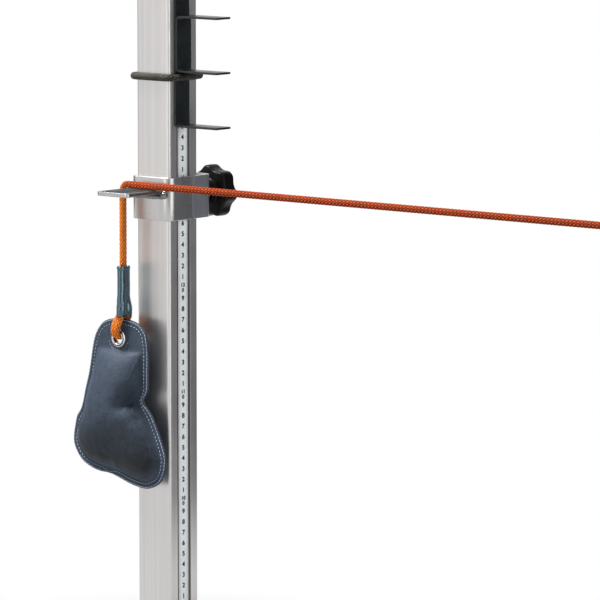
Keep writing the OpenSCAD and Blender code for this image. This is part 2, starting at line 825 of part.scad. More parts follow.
barrel_r = eyelet_hole_r + barrel_wall;

// Local +Z points out of the front of the bag
module eyelet_place() {
    translate([eyelet_x, cord_y, eyelet_z]) rotate([90, 0, 0]) children();
}

module eyelet_front() {
    ring_half = (eyelet_r - eyelet_hole_r) / 2;
    dome_r = (ring_half * ring_half + eyelet_h * eyelet_h) / (2 * eyelet_h);
    color([0.8, 0.8, 0.82])
        on_rest() eyelet_place() rotate_extrude() union() {
            translate([eyelet_hole_r, -leather_t - washer_t])
                square([barrel_wall, 2 * leather_t + washer_t]);
            intersection() {
                translate([eyelet_hole_r + ring_half, leather_t + eyelet_h - dome_r]) circle(dome_r);
                translate([eyelet_hole_r, leather_t]) square([2 * ring_half, eyelet_h]);
            }
        }
}

module eyelet_back() {
    inner = barrel_r + eyelet_fit;
    color([0.8, 0.8, 0.82])
        on_rest() eyelet_place() rotate_extrude() translate([0, -leather_t - washer_t])
            polygon([[inner, 0], [eyelet_r - 1, 0], [eyelet_r - 0.5, washer_t], [inner, washer_t]]);
}

mast_profile();
mast_top_cap();
cap_screws();
scale_tape();
clamp_front_plate();
clamp_rear_plate();
clamp_seam_welds();
clamp_boss();
boss_weld();
rest_plate();
rest_welds();
cord_run();
cord_bend();
far_sleeve();
far_eye();
pressure_pad();
pad_retainer();
retainer_screws();
knob_star();
knob_insert();
clamp_screw();
rack_long_bracket();
rack_short_bracket();
rack_welds();
elastic_ring();
elastic_ferrule();
cord_drop();
bag_sleeve();
cord_eye();
bag_front_panel();
bag_back_panel();
bag_filling();
eyelet_front();
eyelet_back();
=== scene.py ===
import math

import bmesh
import bpy
import numpy as np
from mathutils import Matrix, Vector, noise


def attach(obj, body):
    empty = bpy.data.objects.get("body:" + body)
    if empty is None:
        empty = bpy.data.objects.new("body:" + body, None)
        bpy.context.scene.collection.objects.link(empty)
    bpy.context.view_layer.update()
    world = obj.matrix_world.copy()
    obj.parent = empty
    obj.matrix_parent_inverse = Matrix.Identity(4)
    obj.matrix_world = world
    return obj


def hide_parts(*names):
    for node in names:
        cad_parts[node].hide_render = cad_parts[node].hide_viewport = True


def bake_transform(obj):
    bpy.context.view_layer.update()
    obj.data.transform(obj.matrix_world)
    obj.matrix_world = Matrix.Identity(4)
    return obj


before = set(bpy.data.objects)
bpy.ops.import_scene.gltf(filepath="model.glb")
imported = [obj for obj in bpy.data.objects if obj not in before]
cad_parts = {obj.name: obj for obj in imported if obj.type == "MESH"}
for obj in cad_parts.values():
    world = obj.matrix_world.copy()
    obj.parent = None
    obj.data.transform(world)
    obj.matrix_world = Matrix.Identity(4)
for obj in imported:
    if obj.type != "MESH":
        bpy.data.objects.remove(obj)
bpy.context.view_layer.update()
print("frame loaded with", len(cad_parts), "nodes")


def newObject(name, data):
    obj = bpy.data.objects.new(name, data)
    bpy.context.collection.objects.link(obj)
    return obj


def aimObject(obj, place, along, axis="-Z"):
    obj.location = place
    obj.rotation_mode = "QUATERNION"
    obj.rotation_quaternion = along.to_track_quat(axis, "Y")


# Camera
cameraSetup = {
    "azimuth": 40.2, "elevation": 7.0, "distance": 5.0, "viewWidth": 0.558, "aside": 0.1232,
    "height": 0.3106, "sensor": 36,
}


def makeCamera(s):
    a, e = math.radians(s["azimuth"]), math.radians(s["elevation"])
    forward = Vector((-math.sin(a) * math.cos(e), math.cos(a) * math.cos(e), -math.sin(e)))
    target = Vector((math.cos(a) * s["aside"], math.sin(a) * s["aside"], s["height"]))
    data = bpy.data.cameras.new("photoCamera")
    data.sensor_width = s["sensor"]
    data.lens = s["sensor"] * s["distance"] / s["viewWidth"]
    camera = newObject("photoCamera", data)
    aimObject(camera, target - forward * s["distance"], forward)
    bpy.context.scene.camera = camera


makeCamera(cameraSetup)
print("camera placed")


# Helpers for meshes
def meshPiece(name, points, faces, edges=()):
    mesh = bpy.data.meshes.new(name)
    mesh.from_pydata(np.array(points, float).tolist(), edges, faces)
    mesh.update()
    mesh.shade_smooth()
    return newObject(name, mesh)


def lineObject(name, points, closed=False):
    n = len(points)
    return meshPiece(name, points, [], [(i, i + 1) for i in range(n - 1)] + ([(n - 1, 0)] if closed else []))


def editMesh(mesh, merge, work):
    b = bmesh.new()
    b.from_mesh(mesh)
    bmesh.ops.remove_doubles(b, verts=b.verts, dist=merge)
    work(b)
    b.to_mesh(mesh)
    b.free()
    mesh.update()


def tidyNormals(obj, merge=1e-7):
    editMesh(obj.data, merge, lambda b: bmesh.ops.recalc_face_normals(b, faces=b.faces))
    return obj


def ringFaces(rings, n, loop=False):
    # the faces between each ring of n points and the next
    i, k = np.divmod(np.arange((rings if loop else rings - 1) * n), n)
    j, m = (i + 1) % rings, (k + 1) % n
    return np.stack([i * n + k, i * n + m, j * n + m, j * n + k], 1).tolist()


def endFaces(rings, n):
    return [tuple(range(n))[::-1], tuple(range((rings - 1) * n, rings * n))]


def shellPiece(name, rings, tips=None):
    # a closed skin over rings of points, whose ends are flat faces, or fans to two tips
    count, n = len(rings), len(rings[0])
    points, faces = np.vstack(list(rings) + ([tips] if tips else [])), ringFaces(count, n)
    if tips:
        last = (count - 1) * n
        faces += [(count * n, k, (k + 1) % n) for k in range(n)]
        faces += [(count * n + 1, last + (k + 1) % n, last + k) for k in range(n)]
    else:
        faces += endFaces(count, n)
    return tidyNormals(meshPiece(name, points, faces))


def turnedPiece(name, profile, centre, steps=96):
    # a closed profile of (radius, y) points turned round an axis along Y
    x, y, z = centre
    turns = 2 * math.pi * np.arange(steps) / steps
    points = [(x + r * math.cos(a), y + q, z + r * math.sin(a)) for a in turns for r, q in profile]
    return tidyNormals(meshPiece(name, points, ringFaces(steps, len(profile), loop=True)))


def bakeModifiers(obj):
    # turns whatever the modifiers make into the piece's own plain mesh
    graph = bpy.context.evaluated_depsgraph_get()
    made = bpy.data.meshes.new_from_object(obj.evaluated_get(graph), depsgraph=graph)
    old = obj.data
    obj.modifiers.clear()
    obj.data = made
    made.name = obj.name
    bpy.data.meshes.remove(old)
    return obj


def joinPieces(name, objects):
    b = bmesh.new()
    for o in objects:
        b.from_mesh(o.data)
    mesh = bpy.data.meshes.new(name)
    b.to_mesh(mesh)
    b.free()
    for o in objects:
        bpy.data.objects.remove(o)
    mesh.shade_smooth()
    return newObject(name, mesh)


def evenLine(points, step, closed=False, pull=1.3):
    # a smooth curve through the points, then points along it at even spacing
    p = np.array(points, float)
    n = len(p)
    dense = []
    for i in range(n if closed else n - 1):
        p1, p2 = p[i], p[(i + 1) % n]
        p0 = p[(i - 1) % n] if closed or i > 0 else 2 * p1 - p2
        p3 = p[(i + 2) % n] if closed or i < n - 2 else 2 * p2 - p1
        chord = np.linalg.norm(p2 - p1)
        k = max(2, int(chord / step * 2))
        t = (np.arange(k) / k)[:, None]
        slopes = (p2 - p0) / 2, (p3 - p1) / 2
        m1, m2 = (m * min(1.0, chord * pull / max(1e-9, np.linalg.norm(m))) for m in slopes)
        dense.append(
            (2 * t**3 - 3 * t**2 + 1) * p1 + (t**3 - 2 * t**2 + t) * m1
            + (3 * t**2 - 2 * t**3) * p2 + (t**3 - t**2) * m2)
    dense = np.vstack(dense + [p[:1] if closed else p[-1:]])
    run = np.concatenate([[0], np.cumsum(np.linalg.norm(np.diff(dense, axis=0), axis=1))])
    at = np.linspace(0, run[-1], max(3, int(round(run[-1] / step))) + 1)
    line = np.stack([np.interp(at, run, dense[:, k]) for k in range(3)], 1)
    return (line[:-1] if closed else line), float(run[-1])


def tubePiece(name, line, radius, sides, firstSide, relief, closed=False):
    # a tube whose own UV map holds the turn round it and the metres along it
    n = len(line)
    ahead = np.roll(line, -1, 0) - np.roll(line, 1, 0)
    if not closed:
        ahead[0], ahead[-1] = line[1] - line[0], line[-1] - line[-2]
    ahead /= np.linalg.norm(ahead, axis=1)[:, None]
    along = np.concatenate([[0], np.cumsum(np.linalg.norm(np.diff(line, axis=0), axis=1))])
    side, sidesAt = np.array(firstSide, float), np.zeros((n, 3))
    for i in range(n):
        side = side - ahead[i] * (side @ ahead[i])
        side = side / np.linalg.norm(side)
        sidesAt[i] = side
    u = np.arange(sides) / sides
    turn = (2 * math.pi * u)[None, :, None]
    ring = sidesAt[:, None] * np.cos(turn) + np.cross(ahead, sidesAt)[:, None] * np.sin(turn)
    r = radius + relief(u[None, :], along[:, None]) + np.zeros((n, sides))
    faces = ringFaces(n, sides, closed)
    i, k = np.divmod(np.array(faces)[:, 0], sides)
    after = np.append(along, along[-1] + np.linalg.norm(line[0] - line[-1]))[i + 1]
    left, right = k / sides, (k + 1) / sides
    uv = np.stack([left, along[i], right, along[i], right, after, left, after], 1).reshape(-1, 2)
    if not closed:
        faces += endFaces(n, sides)
        uv = np.vstack([uv, np.zeros((2 * sides, 2))])
    obj = meshPiece(name, (line[:, None] + ring * r[:, :, None]).reshape(-1, 3), faces)
    obj.data.uv_layers.new(name="wrap").data.foreach_set("uv", uv.astype(np.float32).ravel())
    return obj


def sharpenByAngle(obj, degrees):
    obj.data.shade_smooth()
    obj.data.set_sharp_from_angle(angle=math.radians(degrees))


# how near points are one, which bends are flat, and which edges are broken and stay sharp, in degrees
softEdges = {"merge": 2e-6, "flat": 0.6, "broken": 38, "sharp": 32}


def softenedCopy(node, name, width, segments):
    # a copy of a solid whose hard edges are broken, to stand for it
    copy = newObject(name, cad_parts[node].data.copy())
    copy.data.materials.clear()
    flat = math.radians(softEdges["flat"])
    editMesh(copy.data, softEdges["merge"], lambda b: bmesh.ops.dissolve_limit(
        b, angle_limit=flat, verts=b.verts, edges=b.edges))
    if copy.data.has_custom_normals:
        with bpy.context.temp_override(object=copy, active_object=copy, selected_objects=[copy]):
            bpy.ops.mesh.customdata_custom_splitnormals_clear()
    bevel = copy.modifiers.new("softEdges", "BEVEL")
    bevel.width, bevel.segments = width, segments
    bevel.limit_method = "ANGLE"
    bevel.angle_limit = math.radians(softEdges["broken"])
    bevel.use_clamp_overlap = True
    bevel.harden_normals = False
    bakeModifiers(copy)
    sharpenByAngle(copy, softEdges["sharp"])
    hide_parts(node)
    return copy


def finishPiece(obj, body, material):
    obj.data.materials.clear()
    obj.data.materials.append(material)
    if body:
        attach(obj, body)


# Helpers for node trees
class Wire:
    # a node's output; sums written with it add Math nodes to its tree
    def __init__(self, tree, socket):
        self.tree, self.socket = tree, socket

    def __add__(self, b):
        return calc("ADD", self, b)

    def __sub__(self, b):
        return calc("SUBTRACT", self, b)

    def __rsub__(self, a):
        return calc("SUBTRACT", a, self)

    def __mul__(self, b):
        return calc("MULTIPLY", self, b)

    def __truediv__(self, b):
        return calc("DIVIDE", self, b)

    def __rtruediv__(self, a):
        return calc("DIVIDE", a, self)

    def __mod__(self, b):
        return calc("FLOORED_MODULO", self, b)


def feed(node, inputs):
    # a wire is linked to a node's input, and any other value is set on it
    for key, value in inputs.items():
        if isinstance(value, Wire):
            value.tree.links.new(value.socket, node.inputs[key])
        else:
            node.inputs[key].default_value = value


def newNode(tree, kind, inputs, **settings):
    node = tree.nodes.new(kind)
    for key, value in settings.items():
        setattr(node, key, value)
    feed(node, inputs)
    return node


def put(tree, kind, inputs={}, out=0, **settings):
    return Wire(tree, newNode(tree, kind, inputs, **settings).outputs[out])


def calc(operation, *values):
    tree = next(v.tree for v in values if isinstance(v, Wire))
    return put(tree, "ShaderNodeMath", dict(enumerate(values)), operation=operation)


def vectorCalc(operation, *values, out=0):
    return put(values[0].tree, "ShaderNodeVectorMath", dict(enumerate(values)), out, operation=operation)


def axes(place):
    return [Wire(place.tree, s) for s in newNode(place.tree, "ShaderNodeSeparateXYZ", {0: place}).outputs]


def remap(value, low, high, toLow=0.0, toHigh=1.0, **settings):
    inputs = {"Value": value, "From Min": low, "From Max": high, "To Min": toLow, "To Max": toHigh}
    return put(value.tree, "ShaderNodeMapRange", inputs, **settings)


def noiseAt(place, scale, detail, roughness=0.5, out=0):
    inputs = {"Vector": place, "Scale": scale, "Detail": detail, "Roughness": roughness}
    return put(place.tree, "ShaderNodeTexNoise", inputs, out)


def tone(r, g, b):
    # a colour as it is seen on a screen, 0 to 255, turned to the linear values that Blender uses
    return tuple((c / 255 / 12.92) if c <= 10 else ((c / 255 + 0.055) / 1.055) ** 2.4 for c in (r, g, b))


def colour(value):
    # a grey level or three shares of light
    return (value,) * 3 + (1.0,) if isinstance(value, (int, float)) else (*value, 1.0)


def mix(share, a, b):
    a, b = (v if isinstance(v, Wire) else colour(v) for v in (a, b))
    return put(share.tree, "ShaderNodeMix", {0: share, 6: a, 7: b}, 2, data_type="RGBA")


def newTree(name, kind, inputs, outputs):
    # a node group; the kind of each socket follows from its value, or from its name
    tree = bpy.data.node_groups.new(name, kind)
    for way, sockets in (("INPUT", inputs), ("OUTPUT", outputs)):
        for label, value in sockets.items():
            sort = {float: "Float", int: "Int", tuple: "Vector"}.get(type(value), label)
            socket = tree.interface.new_socket(label, in_out=way, socket_type="NodeSocket" + sort)
            if value is not None:
                socket.default_value = value
    first, last = tree.nodes.new("NodeGroupInput"), tree.nodes.new("NodeGroupOutput")
    return tree, lambda label: Wire(tree, first.outputs[label]), last


def useGroup(tree, group, inputs):
    node = newNode(tree, "ShaderNodeGroup", inputs, node_tree=group)
    return {s.name: Wire(tree, s) for s in node.outputs}


def bareTree(owner, output="ShaderNodeOutputMaterial"):
    # the emptied node tree of a material or the world, and its output node
    owner.use_nodes = True
    owner.node_tree.nodes.clear()
    return owner.node_tree, owner.node_tree.nodes.new(output)


def newMaterial(name, **fixed):
    material = bpy.data.materials.new(name)
    tree, out = bareTree(material)
    shader = newNode(tree, "ShaderNodeBsdfPrincipled", {k.replace("_", " "): v for k, v in fixed.items()})
    tree.links.new(shader.outputs[0], out.inputs[0])
    return material, tree, shader


def objectPlace(tree):
    return put(tree, "ShaderNodeTexCoord", out="Object")


def bumped(height, distance, strength=1.0, **under):
    inputs = {"Height": height, "Distance": distance, "Strength": strength, **under}
    return put(height.tree, "ShaderNodeBump", inputs)


# Shared shader effects
def makeDrawnLines():
    # fine lines along a drawn or brushed surface: Stretch is small along the lines and large across
    inputs = {"Place": (0, 0, 0), "Stretch": (900, 900, 8)}
    group, start, end = newTree("drawnLines", "ShaderNodeTree", inputs, {"Lines": 0.0, "Broad": 0.0})
    fine = vectorCalc("MULTIPLY", start("Place"), start("Stretch"))
    wide = vectorCalc("MULTIPLY", fine, (0.17, 0.17, 0.35))
    feed(end, {
        "Lines": remap(noiseAt(fine, 1.0, 3.0, 0.65), 0.25, 0.75),
        "Broad": remap(noiseAt(wide, 1.0, 2.0), 0.3, 0.7)})
    return group


def makeHandling():
    # blotches of handling and dust, for roughness and a slight change of colour
    inputs = {"Place": (0, 0, 0), "Patch Size": 0.02}
    group, start, end = newTree("handling", "ShaderNodeTree", inputs, {"Blotch": 0.0, "Specks": 0.0})
    scale = 1.0 / start("Patch Size")
    blotch, small = noiseAt(start("Place"), scale, 4.0, 0.6), noiseAt(start("Place"), scale * 40.0, 1.0)
    feed(end, {"Blotch": remap(blotch, 0.35, 0.65), "Specks": remap(small, 0.66, 0.74)})
    return group


def makeMouldGrain():
    # the fine pebble of moulded or coated surfaces
    inputs = {"Place": (0, 0, 0), "Grain Size": 0.0006}
    group, start, end = newTree("mouldGrain", "ShaderNodeTree", inputs, {"Height": 0.0})
    cells = {"Vector": start("Place"), "Scale": 1.0 / start("Grain Size")}
    pebble = put(group, "ShaderNodeTexVoronoi", cells, feature="SMOOTH_F1")
    feed(end, {"Height": remap(pebble, 0.1, 0.8, 1, 0)})
    return group


# how a strand lies under its neighbours, and the slant and number of its yarns
strandShape = {"low": 0.55, "rise": 0.45, "middle": 0.62, "slant": 0.6, "yarns": 4}


def makeBraid(s):
    # over and under strands of a round braid, on the turn round the cord and the metres along it
    inputs = {"Wrap": (0, 0, 0), "Strands": 8.0, "Pitch": 0.0027}
    outputs = {"Height": 0.0, "Leftward": 0.0, "Yarn": 0.0}
    group, start, end = newTree("roundBraid", "ShaderNodeTree", inputs, outputs)
    turn, metres, _ = axes(start("Wrap"))
    around, along = turn * start("Strands"), metres / start("Pitch")
    a, b = around + along, around - along
    fa, fb = calc("FRACT", a), calc("FRACT", b)
    over = (calc("FLOOR", a) + calc("FLOOR", b)) % 2.0
    ridgeA, ridgeB = calc("SINE", fa * math.pi), calc("SINE", fb * math.pi)
    ridges = ((ridgeA, ridgeB), (ridgeB, ridgeA))
    highA, highB = (p * (q * s["rise"] + s["low"]) for p, q in ridges)
    waves = 2 * math.pi * s["yarns"]
    yarnA, yarnB = (calc("SINE", (p + q * s["slant"]) * waves) for p, q in ((fa, fb), (fb, fa)))
    height, yarn = (p * (1.0 - over) + q * over for p, q in ((highA, highB), (yarnA, yarnB)))
    feed(end, {"Height": height, "Leftward": over, "Yarn": yarn})
    return group


drawnLines, handling = makeDrawnLines(), makeHandling()
mouldGrain, roundBraid = makeMouldGrain(), makeBraid(strandShape)


# Materials
def makeMetal(
        name, dark, light, stretch, rough, bump=0.00002, patch=0.03, smear=0.0, tint=1, metallic=1.0,
        groove=None):
    fixed = {"Metallic": metallic, "Anisotropic": smear, "Specular_Tint": colour(tint)}
    material, tree, shader = newMaterial(name, **fixed)
    place = objectPlace(tree)
    lines = useGroup(tree, drawnLines, {"Place": place, "Stretch": stretch})
    blotch = useGroup(tree, handling, {"Place": place, "Patch Size": patch})["Blotch"]
    base = mix(lines["Lines"] * 0.5 + lines["Broad"] * 0.5, dark, light)
    if groove:
        # painted shade on the floor of a groove
        x, y, _ = axes(place)
        deep = calc("LESS_THAN", calc("ABSOLUTE", x - groove["floor"]), groove["reach"])
        inside = calc("LESS_THAN", calc("ABSOLUTE", y), groove["half"])
        base = mix(deep * inside * groove["share"], base, groove["paintedShade"])
    dull = remap(lines["Broad"] * 0.5 + blotch * 0.5, 0, 1, *rough)
    feed(shader, {"Base Color": base, "Roughness": dull, "Normal": bumped(lines["Lines"], bump)})
    return material


def makePlastic(name, base, varied, rough, grainSize, bump, level=0.5, patch=0.012, ior=1.5, tint=1):
    material, tree, shader = newMaterial(name, Specular_IOR_Level=level, IOR=ior, Specular_Tint=colour(tint))
    place = objectPlace(tree)
    use = useGroup(tree, handling, {"Place": place, "Patch Size": patch})
    grain = useGroup(tree, mouldGrain, {"Place": place, "Grain Size": grainSize})["Height"]
    feed(shader, {
        "Base Color": mix(use["Blotch"] * 0.6 + use["Specks"] * 0.4, base, varied),
        "Roughness": remap(use["Blotch"], 0, 1, rough - 0.06, rough + 0.06), "Normal": bumped(grain, bump)})
    return material


leatherLook = {
    "dark": tone(60, 71, 86), "light": tone(69, 81, 97), "crease": tone(49, 58, 71),
    # painted shade: the tone the filled part darkens to low down and in the dent
    "shadeColour": tone(22, 24, 27),
    "gloss": 0.18, "rough": (0.62, 0.46), "patch": 0.028, "pebbles": 620.0, "pebbleShape": (0.42, 0.8, 1.5),
    "creaseWidth": 0.11, "creaseDepth": 0.00013, "wanderScale": 240.0, "wander": (0.0012, 0.0012, 0.0009),
    "softScale": 90.0, "softDepth": 0.0006, "softStrength": 0.5, "plane": 0.0365, "proud": (0.003, 0.008),
    "low": (0.212, 0.166), "lowShare": 0.85, "dent": (0.0, -0.042, 0.2185), "dentReach": (0.004, 0.019),
    "dentShare": 0.75,
}


def makeLeather(s):
    material, tree, shader = newMaterial("navyLeather", Specular_IOR_Level=s["gloss"])
    place = objectPlace(tree)
    bent = vectorCalc("MULTIPLY_ADD", noiseAt(place, s["wanderScale"], 2.0, out=1), s["wander"], place)
    cells = {"Vector": vectorCalc("MULTIPLY", bent, s["pebbleShape"]), "Scale": s["pebbles"]}
    pebble = put(tree, "ShaderNodeTexVoronoi", cells, feature="DISTANCE_TO_EDGE")
    crease = remap(pebble, 0.0, s["creaseWidth"])
    blotch = useGroup(tree, handling, {"Place": place, "Patch Size": s["patch"]})["Blotch"]
    varied = mix(crease, s["crease"], mix(blotch, s["dark"], s["light"]))
    # painted shade: the filled part is darker low down and in the dent, where its surface turns away from
    # the light
    _, y, z = axes(place)
    proud = remap(calc("ABSOLUTE", y + s["plane"]), *s["proud"])
    near = remap(vectorCalc("DISTANCE", place, s["dent"], out=1), *s["dentReach"], s["dentShare"], 0)
    shaded = calc("MAXIMUM", remap(z, *s["low"], 0, s["lowShare"]), near) * proud
    soft = noiseAt(place, s["softScale"], 3.0)
    feed(shader, {
        "Base Color": mix(shaded, varied, s["shadeColour"]), "Roughness": remap(crease, 0, 1, *s["rough"]),
        "Normal": bumped(soft, s["softDepth"], s["softStrength"], Normal=bumped(crease, s["creaseDepth"]))})
    return material


# between which heights each tone comes in, and how much of it
braidTones = {
    "body": (0.12, 0.5), "tips": (0.7, 1.0), "highlightShare": 0.8, "leftShare": 0.2, "flecks": 0.15,
    "fleckSize": 0.01, "runBody": (0.3, 0.9), "runLeft": 0.6, "runEnds": (-0.004, 0.006),
    "yarnDepth": 0.06,
}


def makeBraided(name, s, strand, shadow, highlightAndFleck, rough, level, varied=None, bump=0.0005):
    t = braidTones
    fixed = {"Specular_IOR_Level": level, "Sheen_Weight": 0.02, "Sheen_Roughness": 0.5}
    material, tree, shader = newMaterial(name, **fixed)
    wrap = put(tree, "ShaderNodeUVMap", uv_map="wrap")
    braid = useGroup(tree, roundBraid, {"Wrap": wrap, "Strands": s["strands"], "Pitch": s["pitch"]})
    blotch = useGroup(tree, handling, {"Place": objectPlace(tree), "Patch Size": t["fleckSize"]})["Blotch"]
    height, leftward = braid["Height"], braid["Leftward"]
    body = mix(remap(height, *t["body"]), shadow, strand)
    # painted highlight: the strand tops are made lighter towards the tip tone, which also colours the random
    # flecks
    lit = mix(remap(height, *t["tips"], 0, t["highlightShare"]), body, highlightAndFleck)
    paint = mix(blotch * t["flecks"], mix(leftward * t["leftShare"], lit, shadow), highlightAndFleck)
    if varied:
        # the stretch from the plate on is darker and redder, and painted shade darkens its valleys and
        # leftward strands towards its low tone
        dull = mix(remap(height, *t["runBody"]), varied["low"], varied["high"])
        dull = mix(leftward * t["runLeft"], dull, varied["low"])
        start, end = (varied["from"] + v for v in t["runEnds"])
        paint = mix(remap(axes(wrap)[1], start, end), paint, dull)
    feed(shader, {
        "Base Color": paint, "Roughness": remap(height, 0, 1, rough + 0.1, rough - 0.05),
        "Normal": bumped(braid["Yarn"] * t["yarnDepth"] + height, bump)})
    return material


cord = {
    "radius": 0.0033, "strands": 8, "pitch": 0.0041, "relief": 0.0003, "sides": 32, "step": 0.0005,
    "waist": (0.006, 0.14), "spread": (0.012, 0.01, 0.35, 0.1), "frontSpread": (0.0135, 0.0115, 0.42, 0.16),
}
elastic = {
    "radius": 0.00325, "strands": 8, "pitch": 0.0032, "relief": 0.00032, "height": 0.520, "corner": 0.017,
    "bend": 0.00635, "proud": 0.02535, "sides": 32, "step": 0.0005,
}
darkerStretch = {"from": 0.146, "low": tone(104, 30, 12), "high": tone(232, 100, 34)}
# painted shade on the floor of the tape's channel in the upright
channelShade = {"floor": 0.0188, "reach": 0.0004, "half": 0.0093, "share": 0.75, "paintedShade": (0.02, 0.02, 0.022)}
turnedLines, evenLines, clampLines = (200, 3000, 200), (700, 700, 700), (1100, 1100, 30)

metals = {
    "upright": makeMetal(
        "drawnAluminium", (0.55, 0.535, 0.525), (0.69, 0.672, 0.66), (1400, 1400, 6), (0.3, 0.4), 0.000005,
        smear=0.68, metallic=0.93, groove=channelShade),
    "clampFront": makeMetal(
        "satinSteel", (0.46, 0.46, 0.455), (0.60, 0.595, 0.585), clampLines, (0.26, 0.34), smear=0.5,
        metallic=0.93),
    # painted light: the rear plate and boss are the front plate's steel, given a lighter, bluer colour for
    # the light on their side faces
    "clampRear": makeMetal(
        "satinSteelRearLit", (0.58, 0.585, 0.62), (0.72, 0.725, 0.76), clampLines, (0.26, 0.38),
        metallic=0.93),
    "rest": makeMetal(
        "restSteel", (0.38, 0.385, 0.395), (0.52, 0.525, 0.53), (900, 40, 900), (0.24, 0.34),
        tint=(0.05, 0.05, 0.055)),
    "weld": makeMetal("weldBead", 0.10, 0.30, (900, 900, 900), (0.2, 0.4), 0.00008, 0.004),
    "screw": makeMetal("platedSteel", (0.45, 0.45, 0.46), (0.62, 0.62, 0.63), evenLines, (0.22, 0.36)),
    "ferrule": makeMetal("pressedAluminium", (0.4, 0.4, 0.41), (0.55, 0.55, 0.56), evenLines, (0.3, 0.42)),
    "brass": makeMetal("turnedBrass", (0.55, 0.4, 0.16), (0.72, 0.55, 0.26), turnedLines, (0.2, 0.32)),
}
plastics = {
    "knob": makePlastic("knobPlastic", 0.003, 0.006, 0.36, 0.0005, 0.00002, 0.13),
    "cap": makePlastic("capPlastic", 0.01, 0.022, 0.5, 0.0006, 0.00004),
    "pad": makePlastic("padPlastic", 0.015, 0.03, 0.5, 0.0006, 0.00004),
    "rack": makePlastic(
        "blackCoat", (0.0105, 0.014, 0.015), (0.017, 0.021, 0.022), 0.28, 0.0007, 0.00002, 0.4),
    "tape": makePlastic("tapeStrip", (0.90, 0.93, 0.95), (0.84, 0.87, 0.89), 0.42, 0.001, 0.00001),
    "print": makePlastic("tapePrint", (0.008, 0.008, 0.01), (0.016, 0.016, 0.018), 0.5, 0.001, 0.00001, 0.2),
    "ticks": makePlastic("tickPrint", (0.12, 0.12, 0.125), (0.18, 0.18, 0.185), 0.5, 0.001, 0.00001, 0.2),
    "sleeve": makePlastic(
        "shrinkTube", tone(30, 40, 44), tone(42, 56, 66), 0.17, 0.0012, 0.00002, 0.7, 0.02, 1.9,
        (0.55, 0.82, 1)),
    "thread": makePlastic(
        "paleThread", tone(165, 178, 198), tone(190, 200, 216), 0.6, 0.0004, 0.00003, 0.3, 0.004),
}
leather = makeLeather(leatherLook)
# the third tone of each braid is the painted highlight on its strand tops and the colour of its random
# flecks
cordWeave = makeBraided(
    "orangeBraid", cord, tone(255, 138, 44), tone(178, 58, 18), tone(255, 176, 84), 0.6, 0.1, darkerStretch)
elasticWeave = makeBraided(
    "blackBraid", elastic, tone(26, 25, 22), tone(6, 6, 5), tone(140, 135, 120), 0.5, 0.15)


# The cord
def braidRelief(s, waist=None, spread=None):
    # the strands, a waist (place, length, share) and a flattened stretch (place, length, wider, thinner)
    def relief(u, v):
        a, b = u * s["strands"] + v / s["pitch"], u * s["strands"] - v / s["pitch"]
        ridgeA, ridgeB = (np.sin(math.pi * (w - np.floor(w))) for w in (a, b))
        over, low, rise = np.mod(np.floor(a) + np.floor(b), 2), strandShape["low"], strandShape["rise"]
        height = (1 - over) * ridgeA * (low + rise * ridgeB) + over * ridgeB * (low + rise * ridgeA)
        grow = (height - strandShape["middle"]) * s["relief"]
        if waist:
            grow = grow - waist[2] * s["radius"] * np.exp(-(((v - waist[0]) / waist[1]) ** 2))
        if spread:
            near = np.exp(-(((v - spread[0]) / spread[1]) ** 4))
            across = np.cos(2 * math.pi * u) ** 2
            grow = grow + s["radius"] * near * (spread[2] * across - spread[3] * (1 - across))
        return grow
    return relief


# up the back strand, up the drop, over the rest plate's edge, along the run and round the far loop
holeStart = (-0.0268, -0.0365, 0.2781)
backStrand = [
    (-0.0268, -0.033, 0.2788), (-0.0268, -0.0302, 0.2815), (-0.0264, -0.0295, 0.285),
    (-0.0252, -0.0297, 0.289),
    (-0.0237, -0.0303, 0.293), (-0.0224, -0.0313, 0.2974), (-0.0224, -0.0326, 0.304),
    (-0.0224, -0.03335, 0.314),
    (-0.0224, -0.03335, 0.33), (-0.0224, -0.0338, 0.335), (-0.0224, -0.0354, 0.34),
]
frontStrand = [
    (-0.0268, -0.04, 0.2788), (-0.0266, -0.0426, 0.2815), (-0.0258, -0.0436, 0.2855),
    (-0.0248, -0.0436, 0.2892),
    (-0.0237, -0.0428, 0.293), (-0.0224, -0.0417, 0.2974), (-0.0224, -0.0404, 0.304),
    (-0.0224, -0.03965, 0.314),
    (-0.0224, -0.03965, 0.333),
]
overEdge = [
    (-0.0224, 0.413), (-0.0224, 0.4155), (-0.02205, 0.4173), (-0.02105, 0.41875), (-0.0196, 0.42),
    (-0.0178, 0.4205),
]
farLoop = [
    (0.54, -0.0365), (0.5416, -0.0365), (0.545, -0.0354), (0.55, -0.0338), (0.555, -0.03335),
    (0.575, -0.03335),
    (0.586, -0.0322), (0.596, -0.0286), (0.606, -0.0264), (0.614, -0.0284), (0.619, -0.0322),
    (0.621, -0.0365),
    (0.619, -0.0408), (0.614, -0.0446), (0.606, -0.0466), (0.596, -0.0444), (0.586, -0.0408),
    (0.575, -0.03965),
    (0.557, -0.03965), (0.552, -0.03965),
]
dropX, cordY, runZ = -0.0224, -0.0365, 0.4205
route = [holeStart] + backStrand
route += [(dropX, cordY, z) for z in (0.345, 0.36, 0.375, 0.39, 0.405)]
route += [(x, cordY, z) for x, z in overEdge]
route += [(x, cordY, runZ) for x in np.arange(-0.008, 0.53, 0.02)]
route += [(x, y, runZ) for x, y in farLoop]
cordLine, cordLength = evenLine(route, cord["step"])
edgeSpot = np.linalg.norm(cordLine - np.array([-0.0215, cordY, 0.418]), axis=1).argmin() * cord["step"]
edgeRelief = braidRelief(cord, (edgeSpot, *cord["waist"]), cord["spread"])
orangeCord = tubePiece("orangeCord", cordLine, cord["radius"], cord["sides"], (1, 0, 0), edgeRelief)
finishPiece(orangeCord, None, cordWeave)
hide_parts("cord_run", "cord_bend", "cord_drop", "far_eye", "cord_eye")
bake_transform(orangeCord)

